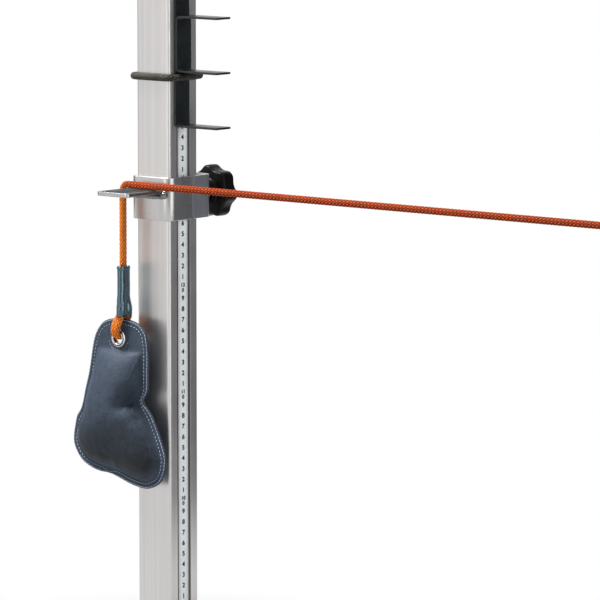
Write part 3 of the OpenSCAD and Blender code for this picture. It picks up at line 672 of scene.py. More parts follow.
frontLine, _ = evenLine([holeStart] + frontStrand, cord["step"])
frontRelief = braidRelief(cord, spread=cord["frontSpread"])
loopFront = tubePiece("loopFront", frontLine, cord["radius"], cord["sides"], (1, 0, 0), frontRelief)
finishPiece(loopFront, "hanger", cordWeave)
print("cord made, length", round(cordLength, 3), "edge at", round(edgeSpot, 3))


# Shrink sleeves
sleeve = {
    "rimWidth": 0.0032, "rimHeight": 0.00045, "sides": 72, "steps": 130, "wall": 0.0008, "skewReach": 0.009,
    "squareX": 0.86, "squareY": 0.92, "lump": 0.00016, "grain": 0.00004, "facing": (0.764, 0.645),
    "insideSteps": (0.007, 0.003, 0.0006), "lipSteps": (0.0005, 0.004),
    "lumpWaves": (0.9, 95), "grainWaves": (2.2, 260),
}
bagSleeveShape = {
    # distance from the loop end, half width, half depth, sideways shift, waist between the strands
    "stations": [
        (0.0, 0.0042, 0.0090, 0.0007, 0.16), (0.002, 0.0046, 0.0092, 0.0010, 0.24),
        (0.006, 0.0050, 0.0091, 0.0012, 0.34),
        (0.010, 0.0050, 0.0087, 0.0010, 0.34), (0.0145, 0.0043, 0.0080, 0.0006, 0.2),
        (0.019, 0.0040, 0.0073, 0.0004, 0.08),
        (0.028, 0.0041, 0.0071, 0.0005, 0.03), (0.038, 0.0041, 0.0071, 0.0005, 0.02),
        (0.0465, 0.0042, 0.0071, 0.0005, 0.0),
    ],
    # a nick: height, reach, depth, its side and its spread in degrees
    "waistWidth": 0.26, "seed": 1.7, "nick": (0.0113, 0.0015, 0.0007, -30, 45),
    # how far the mouth hangs lower, by the angle from the side that faces front right
    "mouth": (
        (-180, -155, -140, -112, -80, -25, 30, 66, 90, 140, 180),
        (0.004, 0.003, 0.0009, 0.0009, 0.0009, 0.0, 0.0002, 0.0003, 0.002, 0.004, 0.004)),
}
farSleeveShape = {
    "stations": [
        (0.0, 0.0040, 0.0082, 0.0, 0.10), (0.008, 0.0043, 0.0080, 0.0003, 0.16),
        (0.016, 0.0041, 0.0074, 0.0, 0.08),
        (0.03, 0.0041, 0.0071, 0.0, 0.03), (0.047, 0.0042, 0.0071, 0.0, 0.0),
    ],
    "waistWidth": 0.38, "seed": 5.3, "nick": None, "mouth": None,
}


def sleeveRing(s, v, place, inset=0.0):
    # one ring of a sleeve at a distance from its mouth
    at, *columns = zip(*s["stations"])
    width, depth, shift, waist = (np.interp(v, at, column) for column in columns)
    half, fx, fy = sleeve["rimWidth"] / 2, *sleeve["facing"]
    rim = sleeve["rimHeight"] * math.exp(-((at[-1] - v - half) / (half / 1.1)) ** 4)
    (wave, rise), (grain, fine) = sleeve["lumpWaves"], sleeve["grainWaves"]
    ring = []
    for k in range(sleeve["sides"]):
        a = 2 * math.pi * k / sleeve["sides"]
        c, n = math.cos(a), math.sin(a)
        x = width * abs(c) ** sleeve["squareX"] * (1 if c > 0 else -1)
        y = depth * abs(n) ** sleeve["squareY"] * (1 if n > 0 else -1)
        x *= 1 - waist * math.exp(-((y / (depth * s["waistWidth"])) ** 2))
        lump = noise.noise(Vector((c * wave + s["seed"], n * wave, v * rise))) * sleeve["lump"]
        lump += noise.noise(Vector((c * grain, n * grain + s["seed"], v * fine))) * sleeve["grain"]
        turn = math.degrees(math.atan2(c * fx + n * fy, c * fy - n * fx))
        if s["nick"]:
            height, reach, deep, side, spread = s["nick"]
            lump -= deep * math.exp(-(((v - height) / reach) ** 2) - ((turn - side) / spread) ** 2)
        out = Vector((x, y, 0)).normalized() * (lump + rim - inset)
        skew = max(0.0, 1 - v / sleeve["skewReach"]) ** 2
        drop = np.interp(turn, *s["mouth"]) * skew if s["mouth"] else 0.0
        ring.append(place(x + shift + out.x, y + out.y, v - drop))
    return ring


def makeSleeve(name, s, place):
    length, wall = s["stations"][-1][0], sleeve["wall"]
    rings = [sleeveRing(s, v, place, wall) for v in sleeve["insideSteps"]]
    rings += [sleeveRing(s, v, place) for v in np.linspace(0, length, sleeve["steps"])]
    rings += [sleeveRing(s, length - v, place, wall * 1.4) for v in sleeve["lipSteps"]]
    return shellPiece(name, rings)


bagSleeve = makeSleeve("bagSleeve", bagSleeveShape, lambda x, y, z: (dropX + x, cordY + y, 0.2975 + z))
finishPiece(bagSleeve, "hanger", plastics["sleeve"])
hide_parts("bag_sleeve")
farSleeve = makeSleeve("farSleeve", farSleeveShape, lambda x, y, z: (0.588 - z, cordY + y, runZ + x))
finishPiece(farSleeve, "clamp", plastics["sleeve"])
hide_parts("far_sleeve")
print("sleeves made")


# The bag; outline, middle, notches, folds and lumps are in millimetres from its origin
bag = {
    "origin": (-0.0236, 0.2764), "eyelet": (-0.0272, 0.2764), "plane": -0.0365, "leather": 0.0016,
    "edge": 0.0062,
    "flatTop": -0.0098, "middle": (2.0, -88.0), "around": 300, "rows": 50, "outerStitch": 0.0013,
    "innerStitch": 0.0049,
    "rim": 0.5, "soften": 0.0072, "blend": 0.004, "roofSlope": 1.9, "reach": (0.022, 0.026),
    "backShare": 0.68,
    "ruffle": 0.0012, "lumpy": 0.0010, "sway": 0.0011, "holeRadius": 0.0057, "eyeletPress": 0.0116,
    "steps": [
        0.0004, 0.0008, 0.0013, 0.0018, 0.0024, 0.0031, 0.0038, 0.0044, 0.0049, 0.0054, 0.0060, 0.0066,
        0.0073],
    "swayWaves": 34, "swayFrom": 0.004, "swayOver": 0.012, "fadeIn": (0.005, 0.003, 0.004), "rimFull": 0.003,
    # depth and half width of the grooves at the two rows of stitches and round the eyelet
    "outerGroove": (0.00030, 0.0005), "innerGroove": (0.00045, 0.0007), "eyeletGroove": (0.00055, 0.0009),
    "ruffleWaves": 95, "ruffleAt": 0.0105, "ruffleWide": 0.0045, "ruffleCalm": 0.03,
    "lumpWaves": (55, 42), "smallWaves": (130, 105), "smallShare": 0.45, "lumpsFrom": 0.009,
    "lumpsOver": 0.012,
    # x, z, share of the hem that is lost, reach in metres
    "notches": [(25.2, -56.0, 0.6, 0.009), (-16.0, -128.0, 0.6, 0.006)],
    # depth, start, end, width
    "folds": [
        (9.2, (27, -52), (7, -63), 5.8), (3.4, (33, -40), (22, -50), 7.5), (0.8, (32, -28), (24, -40), 5.0),
        (1.8, (-52, -70), (-36, -66), 5.0), (2.2, (-16, -127), (-10, -112), 5.0),
        (1.4, (36, -72), (22, -76), 4.5),
        (1.2, (-38, -122), (-26, -112), 4.0),
    ],
    "backFolds": [(2.5, (24, -55), (8, -62), 7.0)],
    # height, x, z, width, height, turn
    "lumps": [
        (1.4, 2, -30, 18, 14, -20), (1.2, -20, -84, 24, 20, 20), (1.2, 25, -112, 18, 14, 0),
        (0.4, 14, -72, 14, 7, 20)],
    # how thick the cushion is in front, by height
    "levels": (
        (-0.14, -0.128, -0.112, -0.096, -0.08, -0.066, -0.054, -0.043, -0.032, -0.022, -0.014, -0.009),
        (4.0, 5.4, 8.4, 12.0, 15.4, 17.5, 17.6, 16.0, 13.2, 9.8, 6.6, 4.4)),
}
bagOutline = [
    (2.5, 18.5), (13.5, 17.2), (22, 14.2), (28.5, 8), (31.5, -0.5), (32.5, -14.5), (32.2, -29.5),
    (32, -44.5),
    (29.5, -50.5), (25.2, -56), (28, -60.5), (32, -63.5), (38, -71), (44, -83.5), (50.5, -97), (54, -107),
    (54, -113.5), (51.5, -123), (45, -132.3), (34.3, -137.5), (25.4, -138.3), (13, -136.2), (-1, -132.2),
    (-12, -129),
    (-19.6, -127.8), (-28.5, -127.3), (-38.6, -124.8), (-49.2, -119.8), (-56.5, -112.5), (-60.9, -104),
    (-61.3, -96),
    (-59.5, -86.6), (-57, -77.5), (-52, -70.5), (-49, -62.5), (-45.3, -47.8), (-41.2, -33.4), (-38.6, -22),
    (-36.5, -9.5), (-33.8, 0.1), (-29.2, 7.8), (-23.4, 13.6), (-15.7, 16.9), (-8, 18),
]
bagMiddle = np.array(bag["middle"]) / 1000
eyeletCentre = (bag["eyelet"][0], bag["plane"], bag["eyelet"][1])


def outlineRing(count):
    line, length = evenLine([(x / 1000, 0, z / 1000) for x, z in bagOutline], 0.0004, closed=True)
    ring = line[np.linspace(0, len(line), count, endpoint=False).astype(int)][:, [0, 2]]
    ahead = np.roll(ring, -1, 0) - np.roll(ring, 1, 0)
    ahead /= np.linalg.norm(ahead, axis=1)[:, None]
    inward = np.stack([ahead[:, 1], -ahead[:, 0]], 1)
    if ((bagMiddle - ring) * inward).sum() < 0:
        inward = -inward
    return ring, inward, length


bagRing, bagInward, bagRound = outlineRing(bag["around"])
denseRing, _, _ = outlineRing(900)
bagArc = np.arange(bag["around"]) / bag["around"] * bagRound
# the edge sways a little out of its plane
bagSway = np.array([noise.noise(Vector((a * bag["swayWaves"], 0.7, 2.0))) for a in bagArc])
bagSway = bagSway * bag["sway"] * np.clip((-bag["swayFrom"] - bagRing[:, 1]) / bag["swayOver"], 0, 1)


def peak(x, power=2):
    return np.exp(-(x ** power))


def away(p, spot):
    return np.sqrt(((p - spot) ** 2).sum(1))


def hemShare(p):
    # the hem narrows towards the notches in the bag's side and lower edge
    share = 1.0
    for x, z, loss, reach in bag["notches"]:
        share = share * (1 - loss * peak(away(p, np.array((x, z)) / 1000) / reach))
    return share


def hemRing(inset):
    return bagRing + bagInward * (inset * hemShare(bagRing))[:, None]


def rimShare(inset):
    # the leather is thinner towards the cut edge
    return bag["rim"] + (1 - bag["rim"]) * np.clip(inset / bag["rimFull"], 0, 1) ** 0.7


def insideDistance(p, batch=4000):
    # distance from points to the bag's outline
    a = denseRing
    d = np.roll(a, -1, 0) - a
    best = np.full(len(p), 1.0)
    for s in range(0, len(p), batch):
        q = p[s:s + batch, None]
        t = np.clip(((q - a[None]) * d[None]).sum(2) / (d * d).sum(1)[None], 0, 1)
        best[s:s + batch] = np.sqrt(((q - a[None] - t[:, :, None] * d[None]) ** 2).sum(2)).min(1)
    return best


def lumpAt(p, x, z, wide, high, turn):
    c, s = math.cos(math.radians(turn)), math.sin(math.radians(turn))
    dx, dz = p[:, 0] - x / 1000, p[:, 1] - z / 1000
    return peak((dx * c + dz * s) / (wide / 1000)) * peak((-dx * s + dz * c) / (high / 1000))


def foldAt(p, start, end, width):
    # a rounded valley along a line, deepest at its start
    a, b = np.array(start) / 1000, np.array(end) / 1000
    d = b - a
    t = np.clip(((p - a) @ d) / (d @ d), 0, 1)
    return peak(away(p, a + t[:, None] * d) / (width / 1000)) * (1 - 0.75 * t)


def swell(p, front):
    # the smooth cushion over the filling
    inside = insideDistance(p) - bag["edge"] * hemShare(p)
    roof, soft = (bag["flatTop"] - p[:, 1]) * bag["roofSlope"], bag["blend"]
    room = -soft * np.log(np.exp(-inside / soft) + np.exp(-roof / soft))
    full = np.interp(p[:, 1], *bag["levels"]) / 1000
    s = np.clip(room / bag["reach"][0 if front else 1], 0, 1)
    return full * (1 - (1 - s) ** 2.3) ** 0.62 * (1.0 if front else bag["backShare"]), inside, room


def crown(p, front):
    height, inside, room = swell(p, front)
    for turn in np.radians(range(0, 360, 60)):
        height = height + swell(p + bag["soften"] * np.array([math.cos(turn), math.sin(turn)]), front)[0]
    topFade, hemFade, foldFade = bag["fadeIn"]
    below = np.clip((bag["flatTop"] - p[:, 1]) / topFade, 0, 1)
    height *= np.clip(inside / hemFade, 0, 1) * below * below * (3 - 2 * below) / 7
    fade = np.clip(room / foldFade, 0, 1) / 1000
    for depth, *line in bag["folds" if front else "backFolds"]:
        height -= depth * fade * foldAt(p, *line)
    for rise, *shape in bag["lumps"] if front else []:
        height += rise * fade * lumpAt(p, *shape)
    return height


def fieldOf(p, wavesX, wavesZ, level):
    return np.array([noise.noise(Vector((x * wavesX, z * wavesZ, level))) for x, z in p])


def makeBag():
    steps = bag["steps"]
    sheet = [hemRing(o) for o in steps]
    sheet += [bagMiddle + (sheet[-1] - bagMiddle) * t for t in np.linspace(1, 0, bag["rows"] + 1)[1:-1]]
    n, rows = bag["around"], len(sheet)
    nominal = np.repeat(steps + [0.02] * (rows - len(steps)), n)
    flat = np.vstack(sheet)
    deep, under = insideDistance(flat), bag["flatTop"] - flat[:, 1]
    made = []
    for front, ruffleSeed, level in ((True, 3.1, 1.3), (False, 8.2, 6.1)):
        height = bag["leather"] * rimShare(nominal) + crown(flat, front)
        for row in ("outer", "inner"):
            groove, wide = bag[row + "Groove"]
            height -= groove * peak((nominal - bag[row + "Stitch"]) / wide)
        waves = bagArc * bag["ruffleWaves"]
        ruffle = np.tile([noise.noise(Vector((a, ruffleSeed, 0))) for a in waves], rows)
        ruffle *= bag["ruffle"] * peak((deep - bag["ruffleAt"]) / bag["ruffleWide"])
        height += ruffle * np.clip(under / bag["ruffleCalm"], 0, 1)
        lumps = fieldOf(flat, *bag["lumpWaves"], level)
        lumps += bag["smallShare"] * fieldOf(flat, *bag["smallWaves"], 4.4)
        calm = np.clip((deep - bag["lumpsFrom"]) / bag["lumpsOver"], 0, 1)
        height += bag["lumpy"] * lumps * calm * np.clip(under / bag["lumpsOver"], 0, 1)
        if front:
            groove, wide = bag["eyeletGroove"]
            ring = away(flat, np.array(bag["eyelet"]) - np.array(bag["origin"])) - bag["eyeletPress"]
            height -= groove * peak(ring / wide)
        y = -height if front else height
        made.append(np.stack([flat[:, 0], y, flat[:, 1]], 1).reshape(rows, n, 3))
    front, back = made
    rim, half = [], bag["leather"] * bag["rim"]
    for inset, share in ((0.00012, -0.85), (0.0, -0.45), (0.0002, 0.0), (0.0, 0.45), (0.00012, 0.85)):
        q = hemRing(inset)
        rim.append(np.stack([q[:, 0], np.full(n, share * half), q[:, 1]], 1))
    rings = [*front[::-1], *rim, *back]
    for i, ring in enumerate(rings):
        ring[:, 1] += bagSway * peak((i - rows - 2) / 14)
    place = np.array([bag["origin"][0], bag["plane"], bag["origin"][1]])
    tips = [part[-1].mean(0) + place for part in (front, back)]
    return shellPiece("bagShell", [ring + place for ring in rings], tips)


def punchHole(obj, centre, radius, depth=0.02):
    bpy.ops.mesh.primitive_cylinder_add(
        vertices=64, radius=radius, depth=depth, location=centre, rotation=(math.pi / 2, 0, 0))
    cutter = bpy.context.active_object
    cut = obj.modifiers.new("hole", "BOOLEAN")
    cut.operation = "DIFFERENCE"
    cut.solver = "EXACT"
    cut.object = cutter
    bakeModifiers(obj)
    bpy.data.objects.remove(cutter)


bagShell = makeBag()
punchHole(bagShell, eyeletCentre, bag["holeRadius"])
sharpenByAngle(bagShell, 55)
finishPiece(bagShell, "bag", leather)
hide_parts("bag_front_panel", "bag_back_panel", "bag_filling")
print("bag made with", len(bagShell.data.polygons), "faces")

# profile points: radius and the distance off the leather; bands: radius and brightness of the painted
# reflection rings
eyelet = {
    "front": [
        (0.00515, -0.0030), (0.00515, 0.0006), (0.0053, 0.0013), (0.0057, 0.0018), (0.0062, 0.0018),
        (0.0066, 0.0012),
        (0.0068, 0.0007), (0.0070, 0.0006), (0.0073, 0.0009), (0.0077, 0.0010), (0.0081, 0.0007),
        (0.0083, 0.0003),
        (0.0085, 0.00035), (0.0088, 0.0003), (0.0089, -0.0001),
    ],
    "back": [(0.0083, 0.0001), (0.0081, 0.0006), (0.0062, 0.0009), (0.0053, 0.0006)],
    "reflectionBands": [
        (0.0052, 0.3), (0.0056, 0.85), (0.0062, 0.8), (0.0066, 0.1), (0.0072, 0.06), (0.0076, 0.8),
        (0.0082, 0.8),
        (0.0085, 0.1),
    ],
    "barrel": 0.0058, "inner": 0.0048, "outer": 0.0092, "shade": (0.08, 0.07, 0.06),
    "stain": (0.2, 0.19, 0.18),
}


def makeEyeletMetal(s):
    # bright metal with a painted reflection: light rings on the ridges and dark rings in the turned grooves,
    # by the distance from the eyelet's axis
    material, tree, shader = newMaterial("eyeletMetal", Metallic=1.0, Roughness=0.14)
    flat = vectorCalc("MULTIPLY", objectPlace(tree), (1, 0, 1))
    off = vectorCalc("DISTANCE", flat, (eyeletCentre[0], 0, eyeletCentre[2]), out=1)
    ramp = newNode(tree, "ShaderNodeValToRGB", {0: remap(off, s["inner"], s["outer"])})
    stops = ramp.color_ramp.elements
    stops.remove(stops[1])
    stops[0].position, stops[0].color = 0, colour(s["shade"])
    for radius, value in s["reflectionBands"]:
        at = (radius - s["inner"]) / (s["outer"] - s["inner"])
        stops.new(at).color = colour((value, value, value * 1.02))
    blotch = useGroup(tree, handling, {"Place": objectPlace(tree), "Patch Size": 0.004})["Blotch"]
    feed(shader, {"Base Color": mix(blotch * 0.3, Wire(tree, ramp.outputs[0]), s["stain"])})
    return material


def makeEyelet(s):
    skin = bag["leather"]
    profile = [(r, -skin - q) for r, q in s["front"]]
    profile += [(s["barrel"], 0.0002 - skin), (s["barrel"], skin - 0.0001)]
    profile += [(r, skin + q) for r, q in s["back"]]
    return turnedPiece("eyeletRing", profile, eyeletCentre)


eyeletRing = makeEyelet(eyelet)
sharpenByAngle(eyeletRing, 60)
finishPiece(eyeletRing, "bag", makeEyeletMetal(eyelet))
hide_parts("eyelet_front", "eyelet_back")
print("materials made:", len(bpy.data.materials))


# Geometry node trees
def newRecipe(name, inputs):
    inputs = {"Geometry": None, **inputs, "Material": None}
    return newTree(name, "GeometryNodeTree", inputs, {"Geometry": None})


def closeRecipe(tree, start, end, geometry, smooth=True):
    real = put(tree, "GeometryNodeRealizeInstances", {0: geometry})
    if smooth:
        real = put(tree, "GeometryNodeSetShadeSmooth", {0: real})
    feed(end, {0: put(tree, "GeometryNodeSetMaterial", {"Geometry": real, "Material": start("Material")})})
    return tree


def runRecipe(obj, tree, values):
    # sets the inputs by identifier, then keeps the plain mesh
    modifier = obj.modifiers.new(tree.name, "NODES")
    modifier.node_group = tree
    for item in tree.interface.items_tree:
        if item.item_type == "SOCKET" and item.in_out == "INPUT" and item.name in values:
            modifier[item.identifier] = values[item.name]
    return bakeModifiers(obj)


def gather(tree, parts, kind="GeometryNodeJoinGeometry"):
    node = tree.nodes.new(kind)
    for part in parts:
        tree.links.new(part.socket, node.inputs[0])
    return Wire(tree, node.outputs[0])


def vectorOf(tree, x, y, z):
    return put(tree, "ShaderNodeCombineXYZ", {0: x, 1: y, 2: z})


def ballRow(tree, start, ball, spacing, wide, long):
    # balls along the line, each stretched along it
    curve = put(tree, "GeometryNodeMeshToCurve", {0: start("Geometry")})
    spaced = put(tree, "GeometryNodeResampleCurve", {"Curve": curve, "Length": spacing}, mode="LENGTH")
    along = put(tree, "GeometryNodeInputTangent")
    turn = put(tree, "FunctionNodeAlignRotationToVector", {"Vector": along}, axis="Z")
    size = vectorOf(tree, wide, wide, long)
    inputs = {"Points": spaced, "Instance": ball, "Rotation": turn, "Scale": size}
    return put(tree, "GeometryNodeInstanceOnPoints", inputs)


def makeStitchRecipe():
    tree, start, end = newRecipe("stitchRow", {"Stitch": 0.003, "Gap": 0.001, "Thread": 0.0004})
    ball = put(tree, "GeometryNodeMeshUVSphere", {"Segments": 8, "Rings": 6, "Radius": 1.0})
    row = ballRow(tree, start, ball, start("Stitch") + start("Gap"), start("Thread"), start("Stitch") * 0.5)
    return closeRecipe(tree, start, end, row)


def makeBeadRecipe():
    tree, start, end = newRecipe("weldBeadRow", {"Radius": 0.002, "Spacing": 0.0014, "Seed": 1})
    ball = put(tree, "GeometryNodeMeshIcoSphere", {"Radius": 1.0, "Subdivisions": 3})
    spread = {2: 0.86, 3: 1.12, "Seed": start("Seed")}
    wide = start("Radius") * put(tree, "FunctionNodeRandomValue", spread, 1, data_type="FLOAT")
    return closeRecipe(tree, start, end, ballRow(tree, start, ball, start("Spacing"), wide, wide * 0.72))


stitchRecipe, beadRecipe = makeStitchRecipe(), makeBeadRecipe()

# length, gap and half thickness of the stitches; the arc below the eyelet in degrees
stitching = {
    "outer": (0.0028, 0.0003, 0.0004), "inner": (0.0024, 0.0011, 0.0004),
    "crease": (0.0021, 0.0006, 0.00025),
    "arcRadius": 0.0119, "arc": (200, 341, 4), "lift": 0.00012,
}


def stitchRow(name, line, kind, closed=True):
    stitch, gap, thread = stitching[kind]
    values = {"Stitch": stitch, "Gap": gap, "Thread": thread, "Material": plastics["thread"]}
    return runRecipe(lineObject(name, line, closed), stitchRecipe, values)


def stitchRows():
    made = []
    for row, inset in (("outer", bag["outerStitch"]), ("inner", bag["innerStitch"])):
        ring = hemRing(inset) + np.array(bag["origin"])
        for side in (-1, 1):
            y = bag["plane"] + side * (bag["leather"] * rimShare(inset) + stitching["lift"]) + bagSway
            made.append(stitchRow(f"{row}Row{side}", np.stack([ring[:, 0], y, ring[:, 1]], 1), row))
    x, y, z = eyeletCentre
    turn, radius = np.radians(np.arange(*stitching["arc"])), stitching["arcRadius"]
    depth = np.full(len(turn), y - bag["leather"] - 0.0001)
    arc = np.stack([x + radius * np.cos(turn), depth, z + radius * np.sin(turn)], 1)
    return made + [stitchRow("eyeletRow", arc, "crease", closed=False)]


bagStitching = joinPieces("bagStitching", stitchRows())
finishPiece(bagStitching, "bag", plastics["thread"])
print("stitches made")


# Welds
def weldPiece(name, paths, spacing, body, material, closed=False, seed=3):
    # each path comes with its bead's radius
    rows = []
    for i, (radius, path) in enumerate(paths):
        values = {"Radius": radius, "Spacing": spacing, "Seed": seed + i, "Material": material}
        rows.append(runRecipe(lineObject(f"{name}{i}", path, closed), beadRecipe, values))
    obj = joinPieces(name, rows)
    finishPiece(obj, body, material)
    return obj


screwHeight = 0.4075
restBead = [
    (-0.0203, -0.0258, 0.4152), (-0.0205, -0.0260, 0.4132), (-0.0200, -0.0262, 0.4108),
    (-0.0185, -0.0266, 0.4098),
    (-0.012, -0.0267, 0.4096), (-0.004, -0.0266, 0.4099), (0.004, -0.0267, 0.4096),
    (0.012, -0.0267, 0.4099),
    (0.0182, -0.0267, 0.4097), (0.0202, -0.0266, 0.4110), (0.0210, -0.0266, 0.4132),
    (0.0208, -0.0264, 0.4158),
    (0.0203, -0.0260, 0.4172),
]
restBlob = [(0.0196, -0.0266, 0.4118), (0.0206, -0.0266, 0.4124)]
bossTurns = np.linspace(0, 2 * math.pi, 48, endpoint=False)
bossRing = [(0.0122 * math.cos(a), 0.0366, screwHeight + 0.0122 * math.sin(a)) for a in bossTurns]
rackBeads = [(0.0013, [(0.022, 0.0073, z0), (0.022, 0.0073, z0 + 0.012)]) for z0 in (0.5325, 0.557)]
restWelds = weldPiece(
    "restWelds", [(0.0021, restBead), (0.0036, restBlob)], 0.0013, "clamp", metals["weld"])
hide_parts("rest_welds")
bossWeld = weldPiece(
    "bossWeld", [(0.0015, bossRing)], 0.0012, "clamp", metals["weld"], closed=True)
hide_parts("boss_weld")
rackWelds = weldPiece("rackWelds", rackBeads, 0.0011, "rack", plastics["rack"])
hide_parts("rack_welds")
print("welds made")

# Scale marks
scale = {
    "face": 0.0191, "labelZero": 120, "labelHeight": 0.3237, "first": 89, "last": 153, "digit": 0.0060,
    "ten": 0.0047,
    "wide": 1.2, "rowGap": 0.0024, "stroke": 0.00033, "strokeSteps": 28, "strokeSides": 6,
    "strokeFlat": 0.2,
    "lift": 0.00004, "tick": 0.00024, "tickLift": 0.00006, "tickLength": 0.0017, "fives": 0.0003,
    "tens": 0.0004,
    "tickEdge": 0.0064, "ticks": 648, "firstTick": 5,
}


def markPoints(tree, start, y, spacing):
    rise = vectorOf(tree, start("Face"), y, start("First Height"))
    inputs = {"Count": start("Count"), "Start Location": rise, "Offset": (0, 0, spacing)}
    return put(tree, "GeometryNodeMeshLine", inputs, mode="OFFSET", count_mode="TOTAL")


def isWhole(number, step):
    # whether a number divides by the step
    inputs = {0: number % step, 1: 0.5}
    return put(number.tree, "FunctionNodeCompare", inputs, data_type="FLOAT", operation="LESS_THAN")


def movedBy(geometry, **change):
    return put(geometry.tree, "GeometryNodeTransform", {"Geometry": geometry, **change})


def makeScaleRecipe(s):
    inputs = {"Face": 0.0191, "First Height": 0.01, "Count": 60, "First Number": 89}
    inputs |= {"Digit Size": 0.005, "Ten Size": 0.004, "Thickness": 0.00004}
    tree, start, end = newRecipe("scaleMarks", inputs)

    def figure(text, size):
        # the filled figure with a rounded stroke round its outline, so that it reads bold
        letters = {"String": text, "Size": start(size)}
        shape = put(tree, "GeometryNodeStringToCurves", letters, align_x="CENTER", align_y="MIDDLE")
        line = movedBy(put(tree, "GeometryNodeRealizeInstances", {0: shape}), Scale=(s["wide"], 1, 1))
        flat = put(tree, "GeometryNodeFillCurve", {0: line}, mode="TRIANGLES")
        lifted = {"Mesh": flat, "Offset Scale": start("Thickness")}
        pushed = put(tree, "GeometryNodeExtrudeMesh", lifted, mode="FACES")
        both = gather(tree, [put(tree, "GeometryNodeFlipFaces", {0: flat}), pushed])
        solid = put(tree, "GeometryNodeMergeByDistance", {"Geometry": both, "Distance": 0.000001})
        sparse = {"Curve": line, "Count": s["strokeSteps"]}
        ring = {"Resolution": s["strokeSides"], "Radius": s["stroke"]}
        stroke = put(tree, "GeometryNodeCurveToMesh", {
            "Curve": put(tree, "GeometryNodeResampleCurve", sparse, mode="COUNT"),
            "Profile Curve": put(tree, "GeometryNodeCurvePrimitiveCircle", ring)})
        return gather(tree, [movedBy(stroke, Scale=(1, 1, s["strokeFlat"])), solid])

    def tenFigure(text):
        # a ten stands over its nought
        parts = ((text, s["rowGap"]), ("0", -s["rowGap"]))
        return gather(tree, [movedBy(figure(t, "Ten Size"), Translation=(0, y, 0)) for t, y in parts])

    number = put(tree, "GeometryNodeInputIndex") + start("First Number")
    units, isTen = number % 10.0, isWhole(number, 10.0)
    isUnit = put(tree, "FunctionNodeBooleanMath", {0: isTen}, operation="NOT")
    singles = [figure(str(d), "Digit Size") for d in reversed(range(10))]
    tens = [tenFigure(str(t)) for t in reversed(range(16))]
    shared = {
        "Points": markPoints(tree, start, 0.0, 0.01), "Pick Instance": True,
        "Rotation": put(tree, "FunctionNodeEulerToRotation", {0: (math.pi / 2, 0, math.pi / 2)}),
    }
    marks = []
    for figures, pick, index in ((singles, isUnit, units), (tens, isTen, number / 10.0)):
        stock = gather(tree, figures, "GeometryNodeGeometryToInstance")
        inputs = {**shared, "Selection": pick, "Instance": stock, "Instance Index": index}
        marks.append(put(tree, "GeometryNodeInstanceOnPoints", inputs))
    return closeRecipe(tree, start, end, gather(tree, marks), smooth=False)


def makeTickRecipe(s):
    inputs = {"Face": 0.0191, "First Height": 0.006, "Count": 650, "First Millimetre": 0}
    tree, start, end = newRecipe("tickMarks", inputs)
    number = put(tree, "GeometryNodeInputIndex") + start("First Millimetre")
    length = isWhole(number, 5.0) * s["fives"] + isWhole(number, 10.0) * s["tens"] + s["tickLength"]
    rows = []
    for side in (-1, 1):
        block = put(tree, "GeometryNodeMeshCube", {"Size": (s["tickLift"], 1.0, s["tick"])})
        inputs = {
            "Points": markPoints(tree, start, side * s["tickEdge"], 0.001),
            "Scale": vectorOf(tree, 1.0, length, 1.0),
            "Instance": movedBy(block, Translation=(0, -0.5 * side, 0))}
        rows.append(put(tree, "GeometryNodeInstanceOnPoints", inputs))
    return closeRecipe(tree, start, end, gather(tree, rows), smooth=False)


def makeScale(s):
    firstHeight = s["labelHeight"] + (s["first"] - s["labelZero"]) * 0.01
    numbers = {
        "Face": s["face"], "First Height": firstHeight, "Count": s["last"] - s["first"] + 1,
        "First Number": s["first"],
        "Digit Size": s["digit"], "Ten Size": s["ten"], "Thickness": s["lift"],
        "Material": plastics["print"],
    }
    ticks = {
        "Face": s["face"], "First Height": firstHeight - 0.005, "Count": s["ticks"],
        "First Millimetre": s["firstTick"],
        "Material": plastics["ticks"],
    }
    for name, recipe, values in (
            ("scaleNumbers", makeScaleRecipe(s), numbers), ("scaleTicks", makeTickRecipe(s), ticks)):
        marks = runRecipe(lineObject(name, [(0, 0, 0)]), recipe, values)
        finishPiece(marks, "upright", values["Material"])
        print(name, "made with", len(marks.data.polygons), "faces")


makeScale(scale)


# Elastic ring
def makeElastic(s):
    def bend(x, y, first):
        turns = np.radians(np.arange(first, first + 91, 22.5))
        return [(x + s["bend"] * math.cos(a), y + s["bend"] * math.sin(a), s["height"]) for a in turns]

    c = s["corner"]
    front = ((-0.0004, -0.0148), (0, -0.012), (0, -0.003), (0, 0.006), (-0.0003, 0.0085))
    path = bend(c, -c, -90) + [(s["proud"] + x, y, s["height"]) for x, y in front]
    path += bend(c, c, 0) + bend(-c, c, 90) + bend(-c, -c, 180)
    line, length = evenLine(path, s["step"], closed=True)
    s["pitch"] = length / round(length / s["pitch"] / 2) / 2
    return tubePiece("elasticRing", line, s["radius"], s["sides"], (0, 0, 1), braidRelief(s), closed=True)


elasticRing = makeElastic(elastic)
finishPiece(elasticRing, "rack", elasticWeave)
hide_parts("elastic_ring")
print("elastic ring made")

# Star knob; the hub's two edges are y and radius off its own, the dish in the back is radius and depth
knob = {
    "radius": 0.025, "lobes": 7, "valley": 0.0032, "valleyRound": 0.016, "phase": 8.0, "around": 420,
    "soften": 23,
    "hub": 0.012, "front": 0.0515, "star": 0.0565, "back": 0.0725, "rounding": 0.0032,
    "hubEdge": [(0, -0.0042), (0, -0.0006), (0.0002, -0.0002), (0.0007, 0)],
    "hubFoot": [(-0.0022, 0), (-0.0012, 0.0003), (-0.0003, 0.0014), (0, 0.0030)],
    "dish": [
        (0.0165, 0.0004), (0.0125, 0.0010), (0.0118, 0.0016), (0.0112, 0.0012), (0.0070, 0.0006),
        (0.0030, 0.0004),
    ],
}


